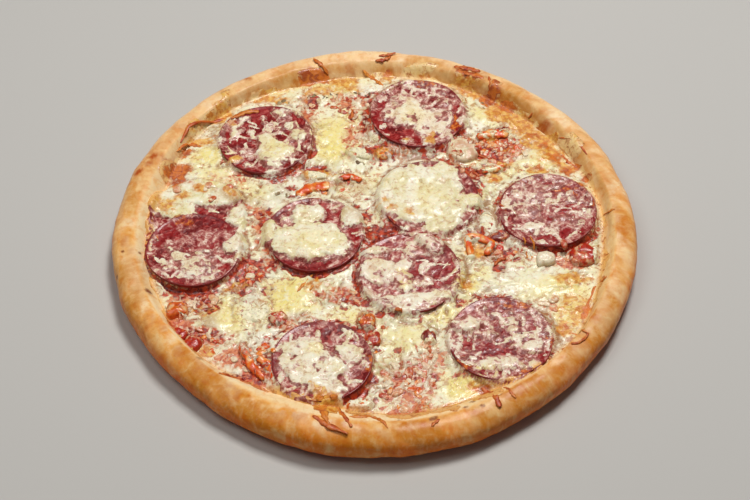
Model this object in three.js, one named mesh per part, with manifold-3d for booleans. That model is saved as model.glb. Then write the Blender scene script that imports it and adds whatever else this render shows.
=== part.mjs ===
// Sausage pizza, whole and uncut, about 300 mm across.
// Millimetres, +Z up. The flat underside lies on z = 0 and the middle of the
// crust's box is at x = y = 0. +Y is the far side of the pizza, +X its right.
import * as THREE from "three";
import { mergeVertices } from "three/addons/utils/BufferGeometryUtils.js";
import Module from "manifold-3d";

const wasm = await Module();
wasm.setup();

// ---------------------------------------------------------------- dimensions
const PIZZA_R = 149.24;      // mean outer radius of the crust
const RIM_INNER_R = 129.17;  // mean radius where the cheese meets the rim
const CREST_Z = 19;          // mean height of the rim's crest
const CREST_IN = 12;         // crest inwards of the outermost point
const RIM_FOOT_Z = 10.8;     // height where the rim's inner slope starts
const BASE_Z = 6;            // upper face of the thin base under the cheese
const RECESS_IN = 6;         // how far the recess wall leans inwards
const CHEESE_Z = 11.3;       // mean level of the melted cheese
const SLICE_R = 28.4;        // usual radius of a sausage slice
const SLICE_T = 2.2;         // thickness of a sausage slice
const GAP = 0.3;             // clearance between neighbouring pieces
const RIM_SEGS = 60;         // facets round the crust and the cheese
const SLICE_SEGS = 24;
const PATCH_SEGS = 14;
const LUMP_SEGS = 10;
const FAR = 30;              // a height above everything, for cutting

// The hand-shaped outline: cosine and sine amplitudes of each wave round it.
const OUTER_WAVES = [[-0.82, 0.91], [0.57, -0.2], [0.21, 0.6], [1.06, 0.38], [-0.2, 0], [-0.04, 0.14], [0.06, -0.35]];
const INNER_WAVES = [[0.25, 2.4], [2.31, -1.23], [0.08, -0.79], [-1.03, 0.55], [0.79, -0.41], [-0.49, 0.34], [-0.53, 0.48], [0.43, 0.58]];

const TAU = Math.PI * 2;
const { sin, cos, hypot, atan2, max, min, exp, sqrt, abs } = Math;

const waves = (list, t) => list.reduce((s, [a, b], k) => s + a * cos((k + 1) * t) + b * sin((k + 1) * t), 0);
const rOut = (t) => PIZZA_R + waves(OUTER_WAVES, t);
const rIn = (t) => RIM_INNER_R + waves(INNER_WAVES, t);
const crestZ = (t) => CREST_Z + 0.6 * sin(2 * t + 0.9) + 0.45 * sin(3 * t - 0.6) + 0.3 * sin(7 * t + 1.1);
const smooth = (a, b, x) => { const s = min(1, max(0, (x - a) / (b - a))); return s * s * (3 - 2 * s); };

// height of the rim's inner slope, and of the level that carries the cheese
function rimTop(x, y) {
  const r = hypot(x, y), t = atan2(y, x);
  const s = min(1, max(0, (r - rIn(t)) / (rOut(t) - CREST_IN - rIn(t))));
  return RIM_FOOT_Z + (crestZ(t) - RIM_FOOT_Z) * sin(s * Math.PI / 2);
}

// ---------------------------------------------------------------- cheese level
// pools of melted cheese: centre, half widths, height
const POOLS = [
  [-25, 76, 14, 24, 1.4], [-50, -43, 16, 12, 1.3], [-85, -65, 12, 15, 1.5], [88, -37, 26, 13, 1.6],
  [15, -73, 14, 9, 1.2], [-90, 44, 18, 9, 1.0], [66, 95, 9, 10, 1.3], [-15, 120, 24, 6, 1.3],
  [50, -109, 15, 9, 1.1], [98, 60, 18, 10, 1.3], [-101, 62, 10, 10, 0.9], [-60, 26, 8, 14, 0.9],
  [-72, 111, 20, 5, 1.0], [-12, 58, 12, 8, 0.8], [60, 38, 8, 8, 0.9], [-20, -28, 8, 8, 0.8],
];
function bed(x, y) {
  const r = hypot(x, y), t = atan2(y, x);
  let z = 0.45 * sin(x / 13 + 0.6) * cos(y / 15 - 0.4) + 0.3 * sin(x / 7.3 - y / 9.1 + 1.7);
  for (const [cx, cy, a, b, h] of POOLS) z += h * exp(-(((x - cx) / a) ** 2 + ((y - cy) / b) ** 2));
  return CHEESE_Z + z * smooth(0, 14, rIn(t) - r) - 0.35 * (1 - smooth(0, 14, rIn(t) - r));
}

// ---------------------------------------------------------------- sausage slices
// centre, radius, height of the underside at the centre, rise of the edge
// towards +X and +Y, cupping, saddle wave and its direction
const SLICES = [
  { x: -66.5, y: 72.4, r: 28.2, z: 12.0, tx: 0.5, ty: -0.3, cup: 0.9, wave: 0.4, dir: 0.4 },
  { x: 25.2, y: 93.3, r: 28.8, z: 12.5, tx: 0.0, ty: -0.5, cup: 1.2, wave: 0.5, dir: 1.9 },
  { x: 31.0, y: 25.3, r: 28.8, z: 12.1, tx: 0.2, ty: 0.2, cup: 0.6, wave: 0.3, dir: 0.9 },
  { x: 99.2, y: 15.1, r: 28.5, z: 12.6, tx: 0.5, ty: -0.7, cup: 0.8, wave: 0.4, dir: 2.6 },
  { x: -104.2, y: -15.2, r: 27.0, z: 13.3, tx: -0.3, ty: -0.2, cup: 0.7, wave: 0.3, dir: 1.5 },
  { x: -35.5, y: -2.4, r: 28.0, z: 12.0, tx: 0.1, ty: -0.3, cup: 0.7, wave: 0.3, dir: 0.2 },
  { x: 18.6, y: -30.6, r: 28.6, z: 12.2, tx: 0.3, ty: 0.3, cup: 0.7, wave: 0.4, dir: 1.1 },
  { x: -29.5, y: -92.8, r: 27.4, z: 12.4, tx: 0.1, ty: -0.6, cup: 0.8, wave: 0.4, dir: 2.2 },
  { x: 67.6, y: -77.6, r: 28.6, z: 12.5, tx: 0.5, ty: -0.6, cup: 0.8, wave: 0.4, dir: 2.4 },
  { x: -103.6, y: 12.0, r: 27.6, z: 10.7, tx: -0.3, ty: 0.1, cup: 0.1, wave: 0.0, dir: 0.0 },
];
const onTopOf = { 4: 9 };   // the fifth slice lies on the tenth

function sliceUnder(i, x, y) {
  const s = SLICES[i], u = (x - s.x) / s.r, v = (y - s.y) / s.r, q = min(1.6, u * u + v * v);
  let z = s.z + s.tx * u + s.ty * v + s.cup * q * q + s.wave * q * cos(2 * atan2(v, u) - s.dir);
  z = max(z, rimTop(x, y) + 0.6 - 1.2 * smooth(0, 5, rIn(atan2(y, x)) - hypot(x, y)));
  if (i in onTopOf) {
    const low = SLICES[onTopOf[i]];
    const near = 1 - smooth(low.r, low.r + 6, hypot(x - low.x, y - low.y));
    z = max(z, (sliceUnder(onTopOf[i], x, y) + SLICE_T + 0.45) * near);
  }
  return z;
}
const sliceOver = (i, x, y) => sliceUnder(i, x, y) + SLICE_T;
const sliceEdge = (i, a) => SLICES[i].r * (1 + 0.008 * sin(3 * a + i) + 0.005 * cos(5 * a + 2 * i));

// ---------------------------------------------------------------- solid makers
// A closed body from rings round an axis: `rings` go from the underside out,
// up and in again, and each gives a point [x, y, z] for an angle.
function ringSolid(bottom, rings, top, n) {
  const v = [...bottom], f = [], id = (i, j) => 1 + i * n + (j % n);
  for (const ring of rings) for (let j = 0; j < n; j++) v.push(...ring((j / n) * TAU));
  v.push(...top);
  const last = v.length / 3 - 1;
  for (let j = 0; j < n; j++) {
    f.push(0, id(0, j + 1), id(0, j));
    for (let i = 0; i + 1 < rings.length; i++) {
      f.push(id(i, j), id(i, j + 1), id(i + 1, j + 1), id(i, j), id(i + 1, j + 1), id(i + 1, j));
    }
    f.push(last, id(rings.length - 1, j), id(rings.length - 1, j + 1));
  }
  return solid(v, f);
}
// A closed hoop from rings round an axis, the last ring joined to the first.
function hoopSolid(rings, n) {
  const v = [], f = [], id = (i, j) => (i % rings.length) * n + (j % n);
  for (const ring of rings) for (let j = 0; j < n; j++) v.push(...ring((j / n) * TAU));
  for (let j = 0; j < n; j++) for (let i = 0; i < rings.length; i++) {
    f.push(id(i, j), id(i, j + 1), id(i + 1, j + 1), id(i, j), id(i + 1, j + 1), id(i + 1, j));
  }
  return solid(v, f);
}
function solid(vertices, faces) {
  return new wasm.Manifold(new wasm.Mesh({ numProp: 3, vertProperties: new Float32Array(vertices), triVerts: new Uint32Array(faces) }));
}
// the largest body that a cut leaves
function main(body) {
  const parts = body.decompose();
  return parts.reduce((a, b) => (b.volume() > a.volume() ? b : a));
}
function toGeometry(body) {
  const mesh = body.getMesh();
  let g = new THREE.BufferGeometry();
  g.setAttribute("position", new THREE.BufferAttribute(new Float32Array(mesh.vertProperties), 3));
  g.setIndex(new THREE.BufferAttribute(new Uint32Array(mesh.triVerts), 1));
  return mergeVertices(g, 1e-4);
}

// ---------------------------------------------------------------- crust
// the rim, a hoop of dough round the base
function crustSolid() {
  const round = (k) => (t) => {          // k from 0 at the foot to 1 at the crest
    const a = (k - 0.5) * Math.PI, half = crestZ(t) / 2;
    const r = rOut(t) - CREST_IN + CREST_IN * abs(cos(a)) ** 0.85;
    return [r * cos(t), r * sin(t), half + half * Math.sign(sin(a)) * abs(sin(a)) ** 0.85];
  };
  const slope = (s) => (t) => {
    const r = rIn(t) + (rOut(t) - CREST_IN - rIn(t)) * s;
    return [r * cos(t), r * sin(t), rimTop(r * cos(t), r * sin(t))];
  };
  const inside = (z) => (t) => [(rIn(t) - RECESS_IN) * cos(t), (rIn(t) - RECESS_IN) * sin(t), z];
  const rings = [0, 0.16, 0.35, 0.53, 0.71, 0.87, 1].map(round);
  rings.push(slope(0.6), slope(0.25), slope(0), inside(BASE_Z), inside(0));
  return hoopSolid(rings, RIM_SEGS);
}
// the thin base of dough that closes the rim's hoop under the cheese
function baseSolid() {
  const at = (z) => (t) => { const r = rIn(t) - RECESS_IN - GAP; return [r * cos(t), r * sin(t), z]; };
  return ringSolid([0, 0, 0], [at(0), at(BASE_Z)], [0, 0, BASE_Z], RIM_SEGS);
}

// ---------------------------------------------------------------- cheese layer
function cheeseSolid() {
  const low = (t) => { const r = rIn(t) - RECESS_IN - 0.6; return [r * cos(t), r * sin(t), BASE_Z + 0.35]; };
  const at = (k) => (t) => {
    const r = (rIn(t) - 0.6) * k;
    return [r * cos(t), r * sin(t), k === 1 ? RIM_FOOT_Z + 0.1 : bed(r * cos(t), r * sin(t))];
  };
  const rings = [low, at(1)];
  for (const k of [0.93, 0.82, 0.7, 0.56, 0.4, 0.22]) rings.push(at(k));
  return ringSolid([0, 0, BASE_Z + 0.35], rings, [0, 0, bed(0, 0)], RIM_SEGS);
}

// ---------------------------------------------------------------- slices
// grow widens the body all round
function sliceSolid(i, grow = 0) {
  const s = SLICES[i];
  const at = (k, over, dr = 0) => (a) => {
    const r = sliceEdge(i, a) * k + grow + dr, x = s.x + r * cos(a), y = s.y + r * sin(a);
    return [x, y, over ? sliceOver(i, x, y) + grow : sliceUnder(i, x, y) - grow];
  };
  const rings = [at(1, false, -0.4), at(1, true), at(0.6, true)];
  return ringSolid([s.x, s.y, sliceUnder(i, s.x, s.y) - grow], rings,
    [s.x, s.y, sliceOver(i, s.x, s.y) + grow], SLICE_SEGS);
}
// the straight-sided pocket that a slice or a lump leaves in the cheese
function pocket(x, y, z, edge, n) {
  const at = (h) => (a) => { const [px, py] = edge(a); return [px, py, h]; };
  return ringSolid([x, y, z], [at(z), at(FAR)], [x, y, FAR], n);
}
function slicePocket(i) {
  const s = SLICES[i], clear = GAP + 0.1;
  let low = sliceUnder(i, s.x, s.y);
  for (let a = 0; a < TAU; a += TAU / SLICE_SEGS) low = min(low, sliceUnder(i, s.x + s.r * cos(a), s.y + s.r * sin(a)));
  return pocket(s.x, s.y, low - clear, (a) => {
    const r = sliceEdge(i, a) + clear;
    return [s.x + r * cos(a), s.y + r * sin(a)];
  }, SLICE_SEGS);
}

// ---------------------------------------------------------------- cheese patches
// Melted cheese lying on a slice: slice, centre, half widths, turn, thickness,
// and the amplitudes and phases of the lobes in its outline.
const PATCHES = [
  { s: 0, x: -61.0, y: 62.6, a: 11.5, b: 14.5, turn: 0.15, t: 2.2, lobes: [[3, 0.08, 1.2], [2, 0.06, 0.5]] },
  { s: 1, x: 24.5, y: 93.5, a: 18.5, b: 18.0, turn: 0.3, t: 2.0, lobes: [[3, 0.09, 0.3], [5, 0.07, 1.8]] },
  { s: 2, x: 27.6, y: 25.6, a: 24.6, b: 24.2, turn: 0.5, t: 2.4, lobes: [[2, 0.05, 2.6], [3, 0.07, 4.4], [5, 0.04, 1.0]] },
  { s: 3, x: 91.5, y: 21.0, a: 14.0, b: 15.0, turn: 0.0, t: 1.0, lobes: [[3, 0.12, 0.9], [5, 0.1, 2.0]] },
  { s: 4, x: -102.5, y: -25.5, a: 11.0, b: 9.5, turn: 0.2, t: 1.4, lobes: [[3, 0.12, 2.2], [4, 0.08, 0.4]] },
  { s: 4, x: -83.5, y: -8.5, a: 9.0, b: 8.5, turn: 0.2, t: 1.8, lobes: [[3, 0.08, 1.4]] },
  { s: 5, x: -38.8, y: -0.8, a: 20.5, b: 20.0, turn: 0.5, t: 2.6, lobes: [[2, 0.07, 3.4], [3, 0.08, 5.2], [5, 0.04, 0.7]] },
  { s: 5, x: -14.5, y: 14.5, a: 7.5, b: 8.5, turn: -0.4, t: 1.8, lobes: [[3, 0.08, 0.2]] },
  { s: 6, x: 6.0, y: -33.5, a: 14.0, b: 12.5, turn: 0.4, t: 1.8, lobes: [[3, 0.1, 1.9], [4, 0.06, 0.8]] },
  { s: 6, x: 30.5, y: -14.5, a: 9.5, b: 6.2, turn: -0.75, t: 2.6, lobes: [[2, 0.05, 0.4]] },
  { s: 7, x: -34.5, y: -97.2, a: 19.0, b: 19.5, turn: 0.2, t: 2.0, lobes: [[3, 0.08, 2.4], [5, 0.05, 1.1]] },
  { s: 7, x: -13.5, y: -86.0, a: 7.5, b: 4.6, turn: -0.5, t: 1.8, lobes: [[3, 0.08, 0.6]] },
  { s: 8, x: 53.5, y: -66.0, a: 9.5, b: 6.0, turn: 0.1, t: 2.2, lobes: [[3, 0.07, 2.0]] },
  { s: 8, x: 67.0, y: -94.0, a: 13.5, b: 5.4, turn: 0.05, t: 1.2, lobes: [[3, 0.1, 0.9], [4, 0.06, 2.1]] },
  { s: 9, x: -100.5, y: 27.5, a: 22.5, b: 11.5, turn: 0.0, t: 2.2, lobes: [[2, 0.05, 0.4], [3, 0.07, 3.0]] },
];
const patchBase = (p, x, y) => sliceOver(p.s, x, y) + GAP + 0.45;
function patchSolid(p, grow = 0) {
  const edge = (a) => p.lobes.reduce((s, [k, amp, ph]) => s + amp * cos(k * a - ph), 1);
  const at = (k, h, isTop) => (a) => {
    const m = edge(a) * k, c = cos(p.turn), n = sin(p.turn);
    const u = (p.a * m + grow) * cos(a), v = (p.b * m + grow) * sin(a);
    const x = p.x + u * c - v * n, y = p.y + u * n + v * c;
    return [x, y, patchBase(p, x, y) + p.t * h + (isTop ? grow : -grow)];
  };
  const rings = [at(0.93, 0, false), at(1, 0.3, true), at(0.82, 0.8, true), at(0.42, 1.0, true)];
  const base = patchBase(p, p.x, p.y);
  return ringSolid([p.x, p.y, base - grow], rings, [p.x, p.y, base + p.t + grow], PATCH_SEGS);
}

// ---------------------------------------------------------------- lumps
// Chunks of tomato, pepper, mushroom and cheese, half sunk in the cheese:
// centre, half widths, height above the cheese, depth below it, turn,
// squareness of the outline (1 round, 0.5 boxy), kind
const LUMPS = [
  { name: "tomato_chunk_1", x: -110.6, y: -56.4, a: 5.8, b: 5.2, up: 4.6, down: 2.6, turn: 0.15, sq: 0.55, kind: "tomato_orange" },
  { name: "tomato_chunk_2", x: -107.6, y: -73.2, a: 4.6, b: 4.0, up: 3.6, down: 2.4, turn: -0.5, sq: 0.75, kind: "tomato" },
  { name: "tomato_chunk_3", x: -100.4, y: -79.4, a: 5.0, b: 4.4, up: 3.8, down: 2.4, turn: -0.4, sq: 0.7, kind: "tomato" },
  { name: "tomato_chunk_4", x: -54.6, y: -61.6, a: 5.0, b: 4.4, up: 3.0, down: 2.0, turn: 0.6, sq: 0.8, kind: "tomato" },
  { name: "tomato_chunk_5", x: -5.6, y: -64.2, a: 5.2, b: 4.8, up: 3.4, down: 2.2, turn: 0.3, sq: 0.7, kind: "tomato_orange" },
  { name: "tomato_chunk_6", x: -1.4, y: -76.4, a: 4.2, b: 4.8, up: 3.0, down: 2.0, turn: 0.2, sq: 0.8, kind: "tomato" },
  { name: "tomato_chunk_7", x: -9.2, y: -119.4, a: 6.6, b: 3.2, up: 3.2, down: 1.6, turn: 0.05, sq: 0.6, kind: "tomato_orange" },
  { name: "tomato_chunk_8", x: 28.8, y: -74.6, a: 3.9, b: 4.4, up: 2.8, down: 2.0, turn: 0.0, sq: 0.9, kind: "tomato" },
  { name: "tomato_chunk_9", x: 25.0, y: -123.6, a: 3.2, b: 4.6, up: 3.0, down: 1.6, turn: -0.2, sq: 0.6, kind: "tomato_orange" },
  { name: "tomato_chunk_10", x: 72.6, y: -2.0, a: 8.2, b: 3.6, up: 2.6, down: 2.0, turn: 0.1, sq: 0.8, kind: "tomato" },
  { name: "tomato_wedge", x: 118.4, y: -16.6, a: 7.4, b: 7.2, up: 4.4, down: 2.4, turn: 0.7, sq: 0.6, kind: "tomato" },
  { name: "tomato_chunk_11", x: 5.0, y: 62.6, a: 5.0, b: 4.6, up: 3.2, down: 2.2, turn: 0.5, sq: 0.75, kind: "tomato_orange" },
  { name: "cheese_chunk", x: 96.2, y: -19.6, a: 5.2, b: 4.8, up: 4.4, down: 2.4, turn: 0.1, sq: 0.6, kind: "cheese_pale" },
  { name: "cheese_mound", x: 52.2, y: 64.6, a: 8.6, b: 9.6, up: 3.8, down: 2.4, turn: 0.3, sq: 0.9, kind: "cheese_pale" },
  { name: "mushroom_slice_1", x: -69.0, y: -54.6, a: 10.4, b: 9.0, up: 1.9, down: 2.0, turn: 0.9, sq: 0.85, kind: "mushroom" },
  { name: "mushroom_slice_2", x: -36.4, y: 109.6, a: 6.8, b: 2.3, up: 1.8, down: 1.6, turn: 0.05, sq: 0.8, kind: "mushroom" },
  { name: "mushroom_slice_3", x: -36.0, y: 45.2, a: 7.4, b: 3.0, up: 2.0, down: 1.8, turn: -0.1, sq: 0.8, kind: "mushroom" },
  { name: "mushroom_slice_4", x: 64.4, y: 7.6, a: 4.0, b: 8.0, up: 2.4, down: 2.0, turn: 0.1, sq: 0.85, kind: "mushroom" },
  { name: "mushroom_slice_5", x: -10.0, y: 62.4, a: 7.0, b: 4.4, up: 2.2, down: 2.0, turn: -0.3, sq: 0.85, kind: "mushroom" },
];
function lumpEdge(l, a, k, grow) {
  const lump = 1 + 0.05 * sin(3 * a + l.x) + 0.04 * cos(2 * a + l.y);
  const u = (l.a * k * lump + grow) * Math.sign(cos(a)) * abs(cos(a)) ** l.sq;
  const v = (l.b * k * lump + grow) * Math.sign(sin(a)) * abs(sin(a)) ** l.sq;
  return [l.x + u * cos(l.turn) - v * sin(l.turn), l.y + u * sin(l.turn) + v * cos(l.turn)];
}
function lumpSolid(l, grow = 0) {
  const ground = max(bed(l.x, l.y), rimTop(l.x, l.y));
  const z0 = ground - l.down - grow, z1 = ground + l.up + grow, h = z1 - z0;
  const at = (k, f) => (a) => [...lumpEdge(l, a, k, grow), z0 + h * f];
  return ringSolid([l.x, l.y, z0], [at(0.72, 0.02), at(1, 0.34), at(0.98, 0.66), at(0.66, 0.95)], [l.x, l.y, z1], LUMP_SEGS);
}
function lumpPocket(l) {
  const z = max(bed(l.x, l.y), rimTop(l.x, l.y)) - l.down - GAP - 0.1;
  return pocket(l.x, l.y, z, (a) => lumpEdge(l, a, 1, GAP + 0.1), LUMP_SEGS);
}

// ---------------------------------------------------------------- strips
// Strips of pepper: start, middle and end, width, thickness, lift of the
// strip's centre above the cheese
const STRIPS = [
  { name: "pepper_strip_1", p: [[-73.2, -82.0], [-67.6, -93.6], [-60.4, -102.6]], w: 3.6, t: 3.0, lift: 0.9 },
  { name: "pepper_strip_2", p: [[-63.8, -89.6], [-57.4, -95.0], [-54.6, -103.8]], w: 3.8, t: 3.2, lift: 1.1 },
  { name: "pepper_strip_3", p: [[61.6, 76.4], [70.0, 78.0], [79.0, 78.6]], w: 6.0, t: 3.4, lift: 1.2 },
  { name: "pepper_strip_4", p: [[61.6, 48.0], [68.6, 49.4], [76.0, 52.4]], w: 4.0, t: 3.0, lift: 1.0 },
  { name: "pepper_strip_5", p: [[-46.0, 30.0], [-37.4, 35.0], [-27.6, 36.0]], w: 6.2, t: 3.0, lift: 1.0 },
  { name: "pepper_strip_6", p: [[-21.4, 41.6], [-15.4, 43.2], [-9.0, 40.8]], w: 3.8, t: 2.8, lift: 1.0 },
  { name: "pepper_ring", p: [[54.2, -16.8], [52.6, -3.6], [61.6, -4.2], [66.6, -8.4], [62.6, -15.6]], w: 4.4, t: 3.4, lift: 1.3 },
];
function stripSolid(s, grow = 0) {
  const curve = new THREE.CatmullRomCurve3(s.p.map(([x, y]) => new THREE.Vector3(x, y, 0)));
  const steps = s.p.length > 3 ? 11 : 7, sides = 6, v = [], f = [];
  for (let i = 0; i <= steps; i++) {
    const k = i / steps, at = curve.getPoint(k), dir = curve.getTangent(k);
    const end = 0.45 + 0.55 * sqrt(sin(Math.PI * min(1, max(0, k * 0.94 + 0.03))));
    for (let j = 0; j < sides; j++) {
      const a = ((j + 0.5) / sides) * TAU;
      const side = (s.w / 2 * end + grow) * cos(a), rise = (s.t / 2 * end + grow) * sin(a);
      const push = i === 0 ? -grow : i === steps ? grow : 0;
      const x = at.x - dir.y * side + dir.x * push, y = at.y + dir.x * side + dir.y * push;
      v.push(x, y, max(bed(at.x, at.y), rimTop(at.x, at.y) - 0.4) + s.lift + rise);
    }
  }
  for (let i = 0; i < steps; i++) for (let j = 0; j < sides; j++) {
    const a = i * sides + j, b = i * sides + ((j + 1) % sides), c = a + sides, d = b + sides;
    f.push(a, b, d, a, d, c);
  }
  for (let j = 1; j + 1 < sides; j++) {
    f.push(0, j + 1, j);
    f.push(steps * sides, steps * sides + j, steps * sides + j + 1);
  }
  return solid(v, f);
}

// ---------------------------------------------------------------- looks
const look = (color, roughness) => new THREE.MeshStandardMaterial({ color, roughness, metalness: 0 });
const LOOKS = {
  crust: look("#d9a05a", 0.55), cheese: look("#ead9a0", 0.4), patch: look("#ece4bb", 0.38),
  sausage: look("#8f3a3e", 0.42), tomato: look("#a8321c", 0.35), tomato_orange: look("#c8551e", 0.35),
  pepper: look("#c4561f", 0.35), cheese_pale: look("#e6d3b6", 0.4), mushroom: look("#8d8468", 0.5),
};

// ---------------------------------------------------------------- assembly
const pizza = new THREE.Group();
const toppings = new THREE.Group();
pizza.add(toppings);

// the middle of the crust's box becomes the origin
let crust = crustSolid();
const bounds = crust.boundingBox();
const centre = [(bounds.min[0] + bounds.max[0]) / 2, (bounds.min[1] + bounds.max[1]) / 2];
pizza.position.set(-centre[0], -centre[1], 0);

function place(name, body, [x, y, z], material, group = toppings) {
  const g = toGeometry(body.translate([-x, -y, -z]));
  const mesh = new THREE.Mesh(g, material);
  mesh.name = name;
  mesh.position.set(x, y, z);
  group.add(mesh);
}

// every topping, the lowest first; later ones give way to earlier ones
const pieces = [];
const order = [9, 0, 1, 2, 3, 4, 5, 6, 7, 8];
for (const i of order) {
  const s = SLICES[i];
  pieces.push({
    name: `sausage_slice_${i + 1}`, body: sliceSolid(i), wide: sliceSolid(i, GAP + 0.08), cutter: slicePocket(i),
    at: [s.x, s.y, s.z], look: LOOKS.sausage,
  });
}
for (const l of LUMPS) {
  pieces.push({
    name: l.name, body: lumpSolid(l), wide: lumpSolid(l, GAP + 0.08), cutter: lumpPocket(l),
    at: [l.x, l.y, CHEESE_Z], look: LOOKS[l.kind],
  });
}
for (const s of STRIPS) {
  const [x, y] = s.p[1];
  pieces.push({
    name: s.name, body: stripSolid(s), wide: stripSolid(s, GAP + 0.08), cutter: stripSolid(s, GAP + 0.1),
    at: [x, y, CHEESE_Z], look: LOOKS.pepper,
  });
}
PATCHES.forEach((p, k) => {
  pieces.push({
    name: `cheese_patch_${k + 1}`, body: patchSolid(p), wide: patchSolid(p, GAP + 0.08), cutter: null,
    at: [p.x, p.y, CHEESE_Z], look: LOOKS.patch,
  });
});

const touch = (a, b) => {
  const p = a.boundingBox(), q = b.boundingBox();
  return [0, 1, 2].every((k) => p.min[k] < q.max[k] && q.min[k] < p.max[k]);
};
for (let i = 0; i < pieces.length; i++) {
  for (let j = 0; j < i; j++) {
    if (touch(pieces[i].body, pieces[j].wide)) pieces[i].body = main(pieces[i].body.subtract(pieces[j].wide));
  }
}

// the crust and the cheese give way to what lies in them
let cheese = cheeseSolid();
for (const p of pieces) {
  if (touch(crust, p.wide)) crust = main(crust.subtract(p.wide));
  if (p.cutter) cheese = cheese.subtract(p.cutter);
}
cheese = main(cheese);

place("crust", crust, [0, 0, 0], LOOKS.crust, pizza);
place("crust_base", baseSolid(), [0, 0, 0], LOOKS.crust, pizza);
place("cheese_layer", cheese, [0, 0, BASE_Z], LOOKS.cheese, pizza);
for (const p of pieces) place(p.name, p.body, p.at, p.look);

export default pizza;
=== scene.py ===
"""Sausage pizza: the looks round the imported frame. Lengths in mm here, metres in Blender."""
import math

import bpy
import numpy as np
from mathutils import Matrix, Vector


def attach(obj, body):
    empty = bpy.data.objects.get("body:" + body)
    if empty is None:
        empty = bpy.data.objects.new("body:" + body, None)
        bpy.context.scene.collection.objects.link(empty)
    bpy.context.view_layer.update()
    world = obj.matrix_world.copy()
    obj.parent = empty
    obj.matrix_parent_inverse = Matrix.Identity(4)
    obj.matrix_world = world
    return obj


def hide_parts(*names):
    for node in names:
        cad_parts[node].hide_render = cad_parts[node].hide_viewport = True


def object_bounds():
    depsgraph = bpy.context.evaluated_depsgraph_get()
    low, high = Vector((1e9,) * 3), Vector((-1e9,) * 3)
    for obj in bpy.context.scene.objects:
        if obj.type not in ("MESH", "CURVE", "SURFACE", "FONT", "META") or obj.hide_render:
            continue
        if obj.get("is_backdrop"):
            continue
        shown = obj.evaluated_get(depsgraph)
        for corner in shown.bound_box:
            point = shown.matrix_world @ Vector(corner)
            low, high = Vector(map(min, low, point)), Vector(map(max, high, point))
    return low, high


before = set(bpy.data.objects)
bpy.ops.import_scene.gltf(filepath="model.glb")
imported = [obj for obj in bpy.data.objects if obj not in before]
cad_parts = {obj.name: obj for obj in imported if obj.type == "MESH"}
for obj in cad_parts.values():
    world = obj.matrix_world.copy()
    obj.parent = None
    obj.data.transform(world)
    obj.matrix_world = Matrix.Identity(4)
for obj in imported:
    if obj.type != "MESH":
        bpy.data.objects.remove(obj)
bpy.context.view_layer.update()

TAU = 2 * math.pi
SHIFT = (0.75, -0.66)          # puts the middle of the crust's box at the origin
CAM_E = 50.22                  # camera's height angle, degrees
CAM_D = 1000.0                 # its distance from the middle of the pizza
CAM_AT = (-0.7, -2.3)

# ------------------------------------------------------------------ shape, as in the CAD
PIZZA_R, RIM_INNER_R = 149.24, 129.17
CREST_Z, CREST_IN, RIM_FOOT_Z, BASE_Z, CHEESE_Z, SLICE_T = 19.0, 12.0, 10.8, 6.0, 11.3, 2.2
OUTER_WAVES = [(-0.82, 0.91), (0.57, -0.2), (0.21, 0.6), (1.06, 0.38), (-0.2, 0), (-0.04, 0.14), (0.06, -0.35)]
INNER_WAVES = [(0.25, 2.4), (2.31, -1.23), (0.08, -0.79), (-1.03, 0.55), (0.79, -0.41), (-0.49, 0.34), (-0.53, 0.48), (0.43, 0.58)]


def waves(coeffs, t):
    return sum(a * np.cos((k + 1) * t) + b * np.sin((k + 1) * t) for k, (a, b) in enumerate(coeffs))


def r_out(t):
    return PIZZA_R + waves(OUTER_WAVES, t)


def r_in(t):
    return RIM_INNER_R + waves(INNER_WAVES, t)


def crest_z(t):
    return CREST_Z + 0.6 * np.sin(2 * t + 0.9) + 0.45 * np.sin(3 * t - 0.6) + 0.3 * np.sin(7 * t + 1.1)


def smooth(a, b, x):
    s = np.clip((x - a) / (b - a), 0, 1)
    return s * s * (3 - 2 * s)


def rim_top(x, y):
    r, t = np.hypot(x, y), np.arctan2(y, x)
    s = np.clip((r - r_in(t)) / (r_out(t) - CREST_IN - r_in(t)), 0, 1)
    return RIM_FOOT_Z + (crest_z(t) - RIM_FOOT_Z) * np.sin(s * math.pi / 2)


POOLS = [
    (-25, 76, 14, 24, 1.4), (-50, -43, 16, 12, 1.3), (-85, -65, 12, 15, 1.5), (88, -37, 26, 13, 1.6),
    (15, -73, 14, 9, 1.2), (-90, 44, 18, 9, 1.0), (66, 95, 9, 10, 1.3), (-15, 120, 24, 6, 1.3),
    (50, -109, 15, 9, 1.1), (98, 60, 18, 10, 1.3), (-101, 62, 10, 10, 0.9), (-60, 26, 8, 14, 0.9),
    (-72, 111, 20, 5, 1.0), (-12, 58, 12, 8, 0.8), (60, 38, 8, 8, 0.9), (-20, -28, 8, 8, 0.8),
]


def bed(x, y):
    r, t = np.hypot(x, y), np.arctan2(y, x)
    z = 0.45 * np.sin(x / 13 + 0.6) * np.cos(y / 15 - 0.4) + 0.3 * np.sin(x / 7.3 - y / 9.1 + 1.7)
    for cx, cy, a, b, h in POOLS:
        z = z + h * np.exp(-(((x - cx) / a) ** 2 + ((y - cy) / b) ** 2))
    k = smooth(0, 14, r_in(t) - r)
    return CHEESE_Z + z * k - 0.35 * (1 - k)


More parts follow.
